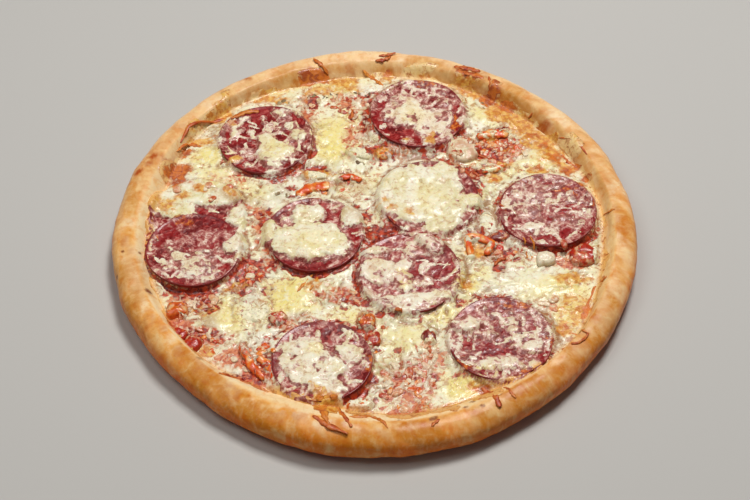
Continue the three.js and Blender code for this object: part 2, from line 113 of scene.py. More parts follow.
# x, y, radius, underside at the centre, rise to +X, rise to +Y, cupping, wave, direction
SLICES = [
    (-66.5, 72.4, 28.2, 12.0, 0.5, -0.3, 0.9, 0.4, 0.4),
    (25.2, 93.3, 28.8, 12.5, 0.0, -0.5, 1.2, 0.5, 1.9),
    (31.0, 25.3, 28.8, 12.1, 0.2, 0.2, 0.6, 0.3, 0.9),
    (99.2, 15.1, 28.5, 12.6, 0.5, -0.7, 0.8, 0.4, 2.6),
    (-104.2, -15.2, 27.0, 13.3, -0.3, -0.2, 0.7, 0.3, 1.5),
    (-35.5, -2.4, 28.0, 12.0, 0.1, -0.3, 0.7, 0.3, 0.2),
    (18.6, -30.6, 28.6, 12.2, 0.3, 0.3, 0.7, 0.4, 1.1),
    (-29.5, -92.8, 27.4, 12.4, 0.1, -0.6, 0.8, 0.4, 2.2),
    (67.6, -77.6, 28.6, 12.5, 0.5, -0.6, 0.8, 0.4, 2.4),
    (-103.6, 12.0, 27.6, 10.7, -0.3, 0.1, 0.1, 0.0, 0.0),
]
ON_TOP_OF = {4: 9}


def slice_under(i, x, y):
    cx, cy, r, z0, tx, ty, cup, wv, d = SLICES[i]
    u, v = (x - cx) / r, (y - cy) / r
    q = np.minimum(1.6, u * u + v * v)
    z = z0 + tx * u + ty * v + cup * q * q + wv * q * np.cos(2 * np.arctan2(v, u) - d)
    t = np.arctan2(y, x)
    z = np.maximum(z, rim_top(x, y) + 0.6 - 1.2 * smooth(0, 5, r_in(t) - np.hypot(x, y)))
    if i in ON_TOP_OF:
        j = ON_TOP_OF[i]
        near = 1 - smooth(SLICES[j][2], SLICES[j][2] + 6, np.hypot(x - SLICES[j][0], y - SLICES[j][1]))
        z = np.maximum(z, (slice_under(j, x, y) + SLICE_T + 0.45) * near)
    return z


def slice_over(i, x, y):
    return slice_under(i, x, y) + SLICE_T


def slice_edge(i, a):
    return SLICES[i][2] * (1 + 0.008 * np.sin(3 * a + i) + 0.005 * np.cos(5 * a + 2 * i))


# ------------------------------------------------------------------ noise
class Noise:
    """Smooth value noise on a wrapped lattice; about -1 to 1."""

    def __init__(self, seed):
        self.g = np.random.RandomState(seed).uniform(-1, 1, (256, 256))

    def __call__(self, x, y, size):
        x, y = np.asarray(x, float) / size, np.asarray(y, float) / size
        xi, yi = np.floor(x).astype(int), np.floor(y).astype(int)
        fx, fy = x - xi, y - yi
        fx, fy = fx * fx * fx * (fx * (fx * 6 - 15) + 10), fy * fy * fy * (fy * (fy * 6 - 15) + 10)
        g = self.g
        a, b = g[xi % 256, yi % 256], g[(xi + 1) % 256, yi % 256]
        c, d = g[xi % 256, (yi + 1) % 256], g[(xi + 1) % 256, (yi + 1) % 256]
        return (a * (1 - fx) + b * fx) * (1 - fy) + (c * (1 - fx) + d * fx) * fy

    def fbm(self, x, y, size, octaves=4, gain=0.5):
        s, amp, tot = 0.0, 1.0, 0.0
        for k in range(octaves):
            c, n = math.cos(k * 1.1), math.sin(k * 1.1)
            s = s + amp * self(x * c - y * n + 17.3 * k, x * n + y * c - 9.1 * k, size)
            tot += amp
            amp *= gain
            size /= 2.03
        return s / tot * 1.6


N1, N2, N3, N4, N5 = (Noise(s) for s in (11, 23, 37, 41, 59))


def srgb(r, g, b):
    return np.array([(c / 255 / 12.92) if c / 255 <= 0.04045 else ((c / 255 + 0.055) / 1.055) ** 2.4 for c in (r, g, b)])


def mix(a, b, k):
    k = np.asarray(k)[..., None] if np.ndim(k) else k
    return a * (1 - k) + b * k


def at_height(y, z):
    """The true y of a spot seen at y on the 12 mm plane but lying z high."""
    return y - (z - 12.0) / math.tan(math.radians(CAM_E))


def spot(x, y, cx, cy, a, b, turn=0.0, soft=0.5, ragged=0.18, seed=0.0):
    """1 inside an uneven ellipse, falling to 0 outside it."""
    c, n = math.cos(math.radians(turn)), math.sin(math.radians(turn))
    u, v = (x - cx) * c + (y - cy) * n, -(x - cx) * n + (y - cy) * c
    size = max(2.0, 0.5 * min(a, b))
    rho = np.sqrt((u / a) ** 2 + (v / b) ** 2) * (1 + ragged * N4.fbm(x + seed * 13.7, y - seed * 7.9, size * 1.6, 3))
    return 1 - smooth(1 - soft, 1 + soft, rho)


def inside(x, y, cx, cy, a, b, turn=0.0):
    """Signed distance in mm to an ellipse's edge, positive inside (roughly)."""
    c, n = math.cos(math.radians(turn)), math.sin(math.radians(turn))
    u, v = (x - cx) * c + (y - cy) * n, -(x - cx) * n + (y - cy) * c
    rho = np.sqrt((u / a) ** 2 + (v / b) ** 2) + 1e-6
    return (1 - rho) * np.hypot(u, v) / rho


# ------------------------------------------------------------------ mesh making
def make(name, verts, faces, color=None, extra=None, uv=None, flat=False):
    """verts in mm in the unshifted frame; faces as an (n, 4) or (n, 3) array or a list of them."""
    v = np.array(verts, np.float64)
    v[:, 0] += SHIFT[0]
    v[:, 1] += SHIFT[1]
    v = (v / 1000).astype(np.float32)
    groups = faces if isinstance(faces, list) else [faces]
    groups = [np.asarray(g, np.int32) for g in groups if len(g)]
    loops = np.concatenate([g.ravel() for g in groups])
    sizes = np.concatenate([np.full(len(g), g.shape[1], np.int32) for g in groups])
    starts = np.concatenate([[0], np.cumsum(sizes)[:-1]]).astype(np.int32)
    m = bpy.data.meshes.new(name)
    m.vertices.add(len(v))
    m.vertices.foreach_set("co", v.ravel())
    m.loops.add(len(loops))
    m.loops.foreach_set("vertex_index", loops)
    m.polygons.add(len(sizes))
    m.polygons.foreach_set("loop_start", starts)
    m.polygons.foreach_set("use_smooth", np.full(len(sizes), not flat))
    m.update(calc_edges=True)
    if color is not None:
        a = m.color_attributes.new("Col", "FLOAT_COLOR", "POINT")
        c = np.concatenate([np.clip(color, 0, 1), np.ones((len(v), 1))], 1).astype(np.float32)
        a.data.foreach_set("color", c.ravel())
    for key, val in (extra or {}).items():
        a = m.attributes.new(key, "FLOAT", "POINT")
        a.data.foreach_set("value", np.asarray(val, np.float32))
    if uv is not None:
        layer = m.uv_layers.new(name="OFBake")
        layer.data.foreach_set("uv", np.asarray(uv, np.float32)[loops].ravel() if len(uv) == len(v) else np.asarray(uv, np.float32).ravel())
    m.validate()
    o = bpy.data.objects.new(name, m)
    bpy.context.scene.collection.objects.link(o)
    return o


def ring_faces(n, rows, first=0, close_bottom=None, close_top=None):
    """Quads between `rows` rings of n vertices; fans to the given pole indices."""
    i, j = np.meshgrid(np.arange(rows - 1), np.arange(n), indexing="ij")
    a = first + i * n + j
    b = first + i * n + (j + 1) % n
    quads = np.stack([a, b, b + n, a + n], -1).reshape(-1, 4)
    out = [quads]
    k = np.arange(n)
    if close_bottom is not None:
        out.append(np.stack([np.full(n, close_bottom), first + (k + 1) % n, first + k], 1))
    if close_top is not None:
        last = first + (rows - 1) * n
        out.append(np.stack([np.full(n, close_top), last + k, last + (k + 1) % n], 1))
    return out


# ------------------------------------------------------------------ materials
class Look:
    """The node graph of one material; colours are linear, sizes in mm."""

    def __init__(self, name, rough, spec=0.5, coat=0.0, coat_rough=0.2, sss=0.0, radius=(1.0, 0.5, 0.25)):
        self.mat = bpy.data.materials.new(name)
        self.mat.use_nodes = True
        self.nt = self.mat.node_tree
        self.nt.nodes.clear()
        out = self.node("ShaderNodeOutputMaterial")
        self.p = self.node("ShaderNodeBsdfPrincipled")
        self.link(self.p.outputs["BSDF"], out.inputs["Surface"])
        self.p.inputs["Roughness"].default_value = rough
        self.p.inputs["Specular IOR Level"].default_value = spec
        self.p.inputs["Coat Weight"].default_value = coat
        self.p.inputs["Coat Roughness"].default_value = coat_rough
        if sss:
            self.p.inputs["Subsurface Weight"].default_value = sss
            self.p.inputs["Subsurface Radius"].default_value = radius
            self.p.inputs["Subsurface Scale"].default_value = 0.0015
        self.pos = self.node("ShaderNodeTexCoord").outputs["Object"]
        self.normal = None

    def node(self, kind):
        return self.nt.nodes.new(kind)

    def link(self, a, b):
        self.nt.links.new(a, b)

    def put(self, socket, value):
        if isinstance(value, (int, float)):
            socket.default_value = value
        elif isinstance(value, (tuple, list, np.ndarray)):
            socket.default_value = (*[float(v) for v in value], 1) if len(socket.default_value) == 4 else tuple(float(v) for v in value)
        else:
            self.link(value, socket)

    def attr(self, name, color=False):
        a = self.node("ShaderNodeAttribute")
        a.attribute_name = name
        return a.outputs["Color" if color else "Fac"]

    def noise(self, size, detail=4.0, rough=0.6, seed=0.0, warp=0.0, at=None):
        n = self.node("ShaderNodeTexNoise")
        n.inputs["Scale"].default_value = 1000.0 / size
        n.inputs["Detail"].default_value = detail
        n.inputs["Roughness"].default_value = rough
        n.inputs["Distortion"].default_value = warp
        v = at or self.pos
        if seed:
            m = self.node("ShaderNodeVectorMath")
            m.operation = "ADD"
            self.link(v, m.inputs[0])
            m.inputs[1].default_value = (seed * 0.0137, -seed * 0.0091, seed * 0.0063)
            v = m.outputs["Vector"]
        self.link(v, n.inputs["Vector"])
        return n.outputs["Fac"]

    def fit(self, value, lo, hi, a=0.0, b=1.0):
        r = self.node("ShaderNodeMapRange")
        r.interpolation_type = "SMOOTHSTEP"
        self.put(r.inputs["Value"], value)
        r.inputs["From Min"].default_value, r.inputs["From Max"].default_value = lo, hi
        r.inputs["To Min"].default_value, r.inputs["To Max"].default_value = a, b
        return r.outputs["Result"]

    def calc(self, op, a, b=0.0, c=0.0):
        m = self.node("ShaderNodeMath")
        m.operation = op
        for k, v in enumerate((a, b, c)[:len(m.inputs)]):
            self.put(m.inputs[k], v)
        return m.outputs["Value"]

    def mix(self, fac, a, b, blend="MIX"):
        x = self.node("ShaderNodeMix")
        x.data_type, x.blend_type = "RGBA", blend
        self.put(x.inputs["Factor"], fac)
        self.put(x.inputs["A"], a)
        self.put(x.inputs["B"], b)
        return x.outputs["Result"]

    def bump(self, height, strength, mm):
        b = self.node("ShaderNodeBump")
        b.inputs["Strength"].default_value = strength
        b.inputs["Distance"].default_value = mm / 1000
        self.link(height, b.inputs["Height"])
        if self.normal is not None:
            self.link(self.normal, b.inputs["Normal"])
        self.normal = b.outputs["Normal"]

    def done(self, color, rough=None):
        self.link(color, self.p.inputs["Base Color"])
        if rough is not None:
            self.link(rough, self.p.inputs["Roughness"])
        if self.normal is not None:
            self.link(self.normal, self.p.inputs["Normal"])
        return self.mat


def patchy(k, field, amount, gain, lo, hi):
    """Ragged patches that grow with an amount from 0 to 1."""
    f = k.calc("ADD", field, k.calc("MULTIPLY", amount, gain))
    return k.calc("MULTIPLY", k.fit(f, lo, hi), k.fit(amount, 0.02, 0.3))


def film_colour(k, fine):
    """Thin cheese over sausage: mauve in the hollows, pink and ivory on the grains."""
    col = k.mix(k.fit(fine, 0.34, 0.50), srgb(132, 28, 30), srgb(174, 90, 84))
    col = k.mix(k.fit(fine, 0.46, 0.60), col, srgb(208, 150, 136))
    return k.mix(k.fit(fine, 0.57, 0.74), col, srgb(246, 224, 204))


def grains(k):
    """Field for thin cheese over sausage: short ridges like shreds, broken by fine grains."""
    a, b, c = k.noise(8.0, 1, 0.5, 41, 1.8), k.noise(3.8, 2, 0.5, 33, 0.9), k.noise(1.3, 2, 0.5, 47)
    ridge = k.calc("SUBTRACT", 1.0, k.calc("MULTIPLY", k.calc("ABSOLUTE", k.calc("SUBTRACT", a, 0.5)), 11.0))
    mixed = k.calc("ADD", k.calc("MULTIPLY", b, 0.76), k.calc("MULTIPLY", c, 0.24))
    return k.calc("ADD", k.calc("MULTIPLY", k.calc("MAXIMUM", ridge, 0.0), 0.15), k.calc("ADD", mixed, -0.02))


def cheese_look():
    k = Look("melted_cheese_look", 0.38, spec=0.4, coat=0.24, coat_rough=0.12, sss=0.08)
    col = k.attr("Col", True)
    rough, meat, sauce_and_shade, amber, brown, thin, ridge, highlight_off_rim = (k.attr(n) for n in ("rough", "meat", "sauce_and_shade", "amber", "brown", "thin", "ridge", "highlight_off_rim"))
    n1, n2, n3 = k.noise(3.0, 6, 0.62, 0, 0.4), k.noise(1.1, 4, 0.6, 3), k.noise(5.0, 6, 0.62, 7, 0.6)
    n4, n5, n6 = k.noise(2.6, 3, 0.55, 11, 0.5), k.noise(5.0, 3, 0.5, 19, 0.8), k.noise(4.0, 2, 0.5, 27, 0.9)
    n7 = k.calc("ADD", grains(k), k.calc("MULTIPLY", k.calc("SUBTRACT", ridge, 0.35), 0.30))
    # painted shade: darker tan in the low places of n1, the noise of the main bump, more where the cheese is rough
    col = k.mix(k.calc("MULTIPLY", k.fit(n1, 0.47, 0.33), k.calc("MULTIPLY_ADD", rough, 0.75, 0.14)), col, srgb(200, 144, 84), "MULTIPLY")
    # painted highlight: near-white on the high places of n1, kept off the cheese baked on the rim
    col = k.mix(k.calc("MULTIPLY", k.fit(n1, 0.52, 0.66), k.calc("MULTIPLY", highlight_off_rim, 0.6)), col, srgb(255, 251, 228))
    col = k.mix(k.calc("MULTIPLY", k.fit(n6, 0.42, 0.32), k.calc("MULTIPLY", rough, 0.65)), col, srgb(180, 96, 40))
    # painted highlight: near-white on the high places of the fine bump n2, kept off the cheese baked on the rim
    col = k.mix(k.calc("MULTIPLY", k.fit(n2, 0.55, 0.68), k.calc("MULTIPLY", highlight_off_rim, 0.35)), col, srgb(255, 251, 230))
    red = k.mix(k.fit(n4, 0.36, 0.62), srgb(184, 60, 18), srgb(228, 136, 86))
    col = k.mix(k.calc("MULTIPLY", patchy(k, n6, meat, 0.38, 0.54, 0.70), 0.9), col, red)
    # deep red from the dark red field: sauce, and painted shadow in the gaps beside the slices and under their near
    # edges
    deep = k.mix(k.fit(n4, 0.36, 0.66), srgb(114, 8, 4), srgb(204, 62, 10))
    col = k.mix(k.calc("MULTIPLY", patchy(k, n6, sauce_and_shade, 0.40, 0.52, 0.68), 0.96), col, deep)
    gold = k.mix(k.fit(n1, 0.42, 0.60), srgb(206, 118, 22), srgb(238, 182, 76))
    col = k.mix(k.calc("MULTIPLY", patchy(k, n5, amber, 0.36, 0.54, 0.78), 0.85), col, gold)
    dark = k.mix(k.fit(n5, 0.40, 0.62), srgb(164, 60, 10), srgb(216, 118, 40))
    col = k.mix(k.calc("MULTIPLY", patchy(k, n5, brown, 0.50, 0.60, 0.84), 0.94), col, dark)
    over = k.calc("ADD", thin, k.calc("MULTIPLY", k.calc("SUBTRACT", n6, 0.5), 2.2))
    mask = k.calc("MULTIPLY", k.calc("MULTIPLY", k.fit(over, 0.30, 0.72), k.fit(thin, 0.02, 0.25)), k.fit(amber, 0.9, 0.2))
    col = k.mix(k.calc("MULTIPLY", mask, 0.92), col, film_colour(k, n7))
    k.bump(n1, 0.6, 1.0)
    k.bump(n2, 0.4, 0.35)
    k.bump(n7, 0.2, 0.3)
    return k.done(col, k.fit(n4, 0.35, 0.65, 0.24, 0.46))


def sausage_look():
    k = Look("sausage_look", 0.38, spec=0.3, coat=0.22, coat_rough=0.12, sss=0.03)
    col = k.attr("Col", True)
    film, orange, casing = k.attr("film"), k.attr("orange"), k.attr("casing")
    n1, n2, n3 = grains(k), k.noise(6.0, 4, 0.55, 9, 0.6), k.noise(0.8, 3, 0.6, 15)
    n4 = k.noise(2.1, 5, 0.6, 21)
    inside = k.calc("SUBTRACT", 1.0, casing)
    col = k.mix(k.calc("MULTIPLY", k.fit(n4, 0.48, 0.36), 0.6), col, srgb(84, 4, 10))
    col = k.mix(k.calc("MULTIPLY", k.fit(n1, 0.55, 0.66), k.calc("MULTIPLY", inside, 0.55)), col, srgb(204, 92, 84))
    over = k.calc("ADD", film, k.calc("MULTIPLY", k.calc("SUBTRACT", n2, 0.5), 2.0))
    mask = k.calc("MULTIPLY", k.calc("MULTIPLY", k.fit(over, 0.34, 0.80), k.fit(film, 0.02, 0.25)), inside)
    grain = k.calc("MULTIPLY", k.fit(k.calc("ADD", n1, k.calc("MULTIPLY", film, 0.10)), 0.40, 0.52), mask)
    col = k.mix(k.calc("MULTIPLY", grain, 0.95), col, film_colour(k, n1))
    col = k.mix(k.calc("MULTIPLY", patchy(k, n2, orange, 0.25, 0.56, 0.70), 0.9), col, k.mix(k.fit(n4, 0.4, 0.6), srgb(162, 50, 8), srgb(226, 126, 44)))
    k.bump(n2, 0.3, 0.5)
    k.bump(n1, 0.55, 0.45)
    k.bump(n3, 0.3, 0.15)
    return k.done(col, k.fit(n4, 0.35, 0.65, 0.28, 0.48))


def crust_look():
    k = Look("baked_dough", 0.40, spec=0.12, coat=0.15, coat_rough=0.22, sss=0.03)
    col = k.attr("Col", True)
    # faint streaks that run across the rim
    sep = k.node("ShaderNodeSeparateXYZ")
    k.link(k.pos, sep.inputs[0])
    flat = k.node("ShaderNodeCombineXYZ")
    k.link(sep.outputs[0], flat.inputs[0])
    k.link(sep.outputs[1], flat.inputs[1])
    unit = k.node("ShaderNodeVectorMath")
    unit.operation = "NORMALIZE"
    k.link(flat.outputs[0], unit.inputs[0])
    ring = k.node("ShaderNodeVectorMath")
    ring.operation = "MULTIPLY_ADD"
    k.link(unit.outputs["Vector"], ring.inputs[0])
    ring.inputs[1].default_value = (0.143, 0.143, 0)
    scaled = k.node("ShaderNodeVectorMath")
    scaled.operation = "MULTIPLY"
    k.link(k.pos, scaled.inputs[0])
    scaled.inputs[1].default_value = (0.45, 0.45, 0.6)
    k.link(scaled.outputs["Vector"], ring.inputs[2])
    streak = k.noise(4.6, 4, 0.6, 2, 0.3, ring.outputs["Vector"])
    n1, n2, n3 = k.noise(2.6, 5, 0.6, 4), k.noise(0.8, 3, 0.6, 6), k.noise(8.0, 4, 0.58, 8, 0.4)
    col = k.mix(k.calc("MULTIPLY", k.fit(streak, 0.50, 0.32), 0.24), col, srgb(234, 176, 90), "MULTIPLY")
    # painted highlight: pale peach on the high parts of the streaks
    col = k.mix(k.calc("MULTIPLY", k.fit(streak, 0.50, 0.72), 0.30), col, srgb(255, 222, 160))
    col = k.mix(k.calc("MULTIPLY", k.fit(n3, 0.48, 0.36), 0.4), col, srgb(240, 186, 98), "MULTIPLY")
    # painted highlight: pale peach blotches
    col = k.mix(k.calc("MULTIPLY", k.fit(n3, 0.50, 0.72), 0.42), col, srgb(255, 220, 156))
    col = k.mix(k.calc("MULTIPLY", k.fit(n1, 0.46, 0.33), 0.16), col, srgb(232, 170, 82), "MULTIPLY")
    # painted highlight: pale peach on the tops of the n1 bumps
    col = k.mix(k.calc("MULTIPLY", k.fit(n1, 0.55, 0.72), 0.14), col, srgb(255, 228, 180))
    k.bump(streak, 0.2, 0.6)
    k.bump(n1, 0.55, 0.45)
    k.bump(n2, 0.5, 0.16)
    return k.done(col, k.fit(n1, 0.35, 0.65, 0.32, 0.5))


def plain_look(name, rough, coat=0.3, sss=0.08, dark=(0.16, 0.03, 0.01), pale=(0.8, 0.5, 0.25), grain=1.2, bump=0.35):
    k = Look(name, rough, spec=0.45, coat=coat, coat_rough=0.14, sss=sss)
    col = k.attr("Col", True)
    n1, n2 = k.noise(grain, 5, 0.62, 5), k.noise(grain * 2.4, 5, 0.62, 12, 0.4)
    col = k.mix(k.calc("MULTIPLY", k.fit(n1, 0.47, 0.34), 0.5), col, dark)
    col = k.mix(k.calc("MULTIPLY", k.fit(n2, 0.55, 0.68), 0.45), col, pale)
    k.bump(n2, bump, 0.6)
    k.bump(n1, bump, 0.3)
    return k.done(col)


def dress(o, mat, slot, *nodes):
    o.data.materials.append(mat)
    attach(o, "root")
    if nodes:
        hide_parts(*nodes)
    return o


# ------------------------------------------------------------------ the cheese's own tables
# Melted cheese lying on each slice: x, y, half widths, turn, all as seen on the
# 12 mm plane; the last number is the thickness.
COVERS = {
    0: [(-61, 64, 11, 12, 10, 2.2), (-66, 76, 6, 7, 0, 2.0), (-57.5, 95, 6.5, 4.6, -10, 1.5), (-85.5, 82, 3.6, 7, 0, 1.0),
        (-47, 78, 5.5, 6, 20, 1.4), (-84, 58, 5.2, 4.4, 0, 1.4), (-53, 86, 3.5, 3.5, 0, 0.9), (-80, 93, 4.5, 3.0, 20, 0.7), (-76, 66, 4, 3, 0, 0.8)],
    1: [(23, 96, 15, 12, 10, 1.6), (16, 107, 9, 7, 0, 1.2), (33, 84, 10, 7, 10, 1.4), (8, 96, 6, 6, 0, 1.0), (33, 72, 3.4, 4.6, 0, 1.5),
        (17.5, 73, 3.5, 3.0, 0, 1.2), (41, 106, 5, 5, 0, 1.1), (40, 93, 8, 8, 0, 1.2), (44, 77, 3.4, 3.6, 0, 1.2)],
    2: [(26, 31, 26, 24, 20, 2.4), (9, 29, 13, 14, 0, 2.0), (38, 8, 12, 9, 10, 2.4), (42, 20, 12, 10, 0, 2.0), (10, 46, 14, 10, -30, 2.0), (40, 46, 12, 9, -40, 1.6),
        (6, 30, 9, 14, 0, 1.8), (53, 26, 10, 5.5, -10, 1.7)],
    3: [(93, 31, 9, 8, 10, 1.3), (90, 18, 8, 6, 0, 1.1), (82, 33, 5, 5, 0, 0.9), (104, 36, 7, 3.5, 20, 0.9), (92, 6, 8, 3.2, 10, 0.9),
        (106, 12, 7, 3.6, 30, 0.8), (114, 27, 3.5, 3, 0, 0.8)],
    4: [(-108, 9.5, 6.5, 5.2, 0, 2.0), (-102, -25, 10, 9, 10, 1.6), (-99, -14, 6, 5, 0, 1.4), (-80, -7, 10, 9.5, 0, 2.2), (-104, -6, 7, 4, -20, 1.2), (-93, -2, 7, 3.4, 10, 1.1),
        (-114, -16, 5, 5, 20, 1.0), (-95, -33, 6, 3.4, 0, 1.0)],
    5: [(-62, 3, 7, 10, 0, 1.8), (-40, 15, 11, 9.5, 10, 2.4), (-38, -5.5, 22, 16, 5, 2.9), (-24, -9, 11, 11, -10, 2.2), (-55, -4, 6, 11, 10, 2.0), (-11, 24, 10, 13, 0, 2.2),
        (-14, 12, 8, 8, 0, 1.8)],
    6: [(2, -27, 12, 11, 0, 1.8), (15, -35, 6, 9, 0, 1.9), (31, -9, 10, 6.5, -48, 2.8), (-2, -13, 12, 3.8, 4, 1.8), (14, -24, 8, 5, 20, 1.2),
        (18, -48, 22, 6, 5, 1.1), (12, -53, 12, 4, 0, 1.2), (20, -12, 6, 4, 0, 1.0), (36, -45, 9, 5, 20, 1.2)],
    7: [(-40, -82, 14, 7.5, -10, 1.8), (-34, -95, 18, 12, 10, 2.1), (-27, -107, 12, 8, -10, 1.9), (-13, -85, 9.5, 5.5, -25, 1.9), (-49, -90, 5, 8, 0, 1.2),
        (-24, -118, 6, 7, 10, 1.8)],
    8: [(50, -65, 12.5, 6, 8, 2.4), (60, -72, 7, 4, 0, 1.2), (86, -80, 8, 5.5, 20, 1.2), (67, -92, 14, 5.4, -4, 1.4), (76, -68, 5, 3.4, 0, 0.8),
        (52, -88, 5, 4, 0, 1.1), (84, -92, 4, 4, 0, 0.8), (64, -58, 6, 3, 0, 0.9)],
    9: [(-124, 27, 10, 10, 0, 2.0), (-128, 21, 7, 5, -50, 1.6), (-115, 21, 13, 11, -20, 2.0), (-108, 13, 11, 8, 0, 2.0), (-101, 32, 25, 12, 0, 2.4), (-80, 16, 7, 9, 0, 2.0), (-117, 27, 11, 11, 20, 2.0)],
}
# cheese that has run up the rim and baked there, as seen: x, y, half widths, turn, thickness
RUN_UP = [
    (-22, 124, 18, 6, 3, 1.4), (-38, 127, 12, 6, -5, 1.1), (-68, 112, 14, 5, 24, 1.2), (-92, 97, 7, 6, 40, 1.0), (-92, 108, 4, 6, 0, 1.2),
    (-108, 80, 8, 7, 30, 1.6), (-114, 64, 5, 4, 0, 0.9), (-118, 48, 9, 9, 0, 1.1), (58, 125, 9, 4, -22, 1.0), (72, 111, 5, 4.4, 0, 1.3),
    (74, 118, 3, 4, 0, 1.0), (90, 83, 10, 7, -30, 1.4), (103, 76, 7, 5, 0, 1.3), (115, 67, 8, 9, -50, 1.6), (112, 52, 7, 5, -50, 1.1),
    (106, 66, 6, 9, 0, 1.2), (121, 43, 5, 4, 0, 0.9), (84, 92, 5, 3, 0, 0.7), (117, -50, 4, 14, -28, 1.3), (110, -68, 7, 5, 40, 1.2),
    (105, -58, 8, 10, -20, 1.1), (124, -36, 3, 5, -30, 0.8), (-27, -122, 6, 9, 15, 1.9), (-20, -131, 5, 3, -30, 1.3), (-8, -124, 8, 4, 0, 0.9),
    (58, -112, 9, 6, 10, 1.0), (15, -126, 12, 4, 0, 1.0), (34, -121, 9, 6, 0, 0.9), (8, 132, 4, 4, 0, 0.9), (27, 133, 12, 5, 0, 0.9),
    (-62, -104, 7, 6, -30, 1.0), (-90, -84, 6, 4, -30, 0.8), (-112, -62, 4, 6, 0, 0.8), (-131, 2, 3, 8, 0, 0.7), (124, 2, 5, 9, 0, 0.9), (128, -8, 3, 5, 0, 0.8),
]
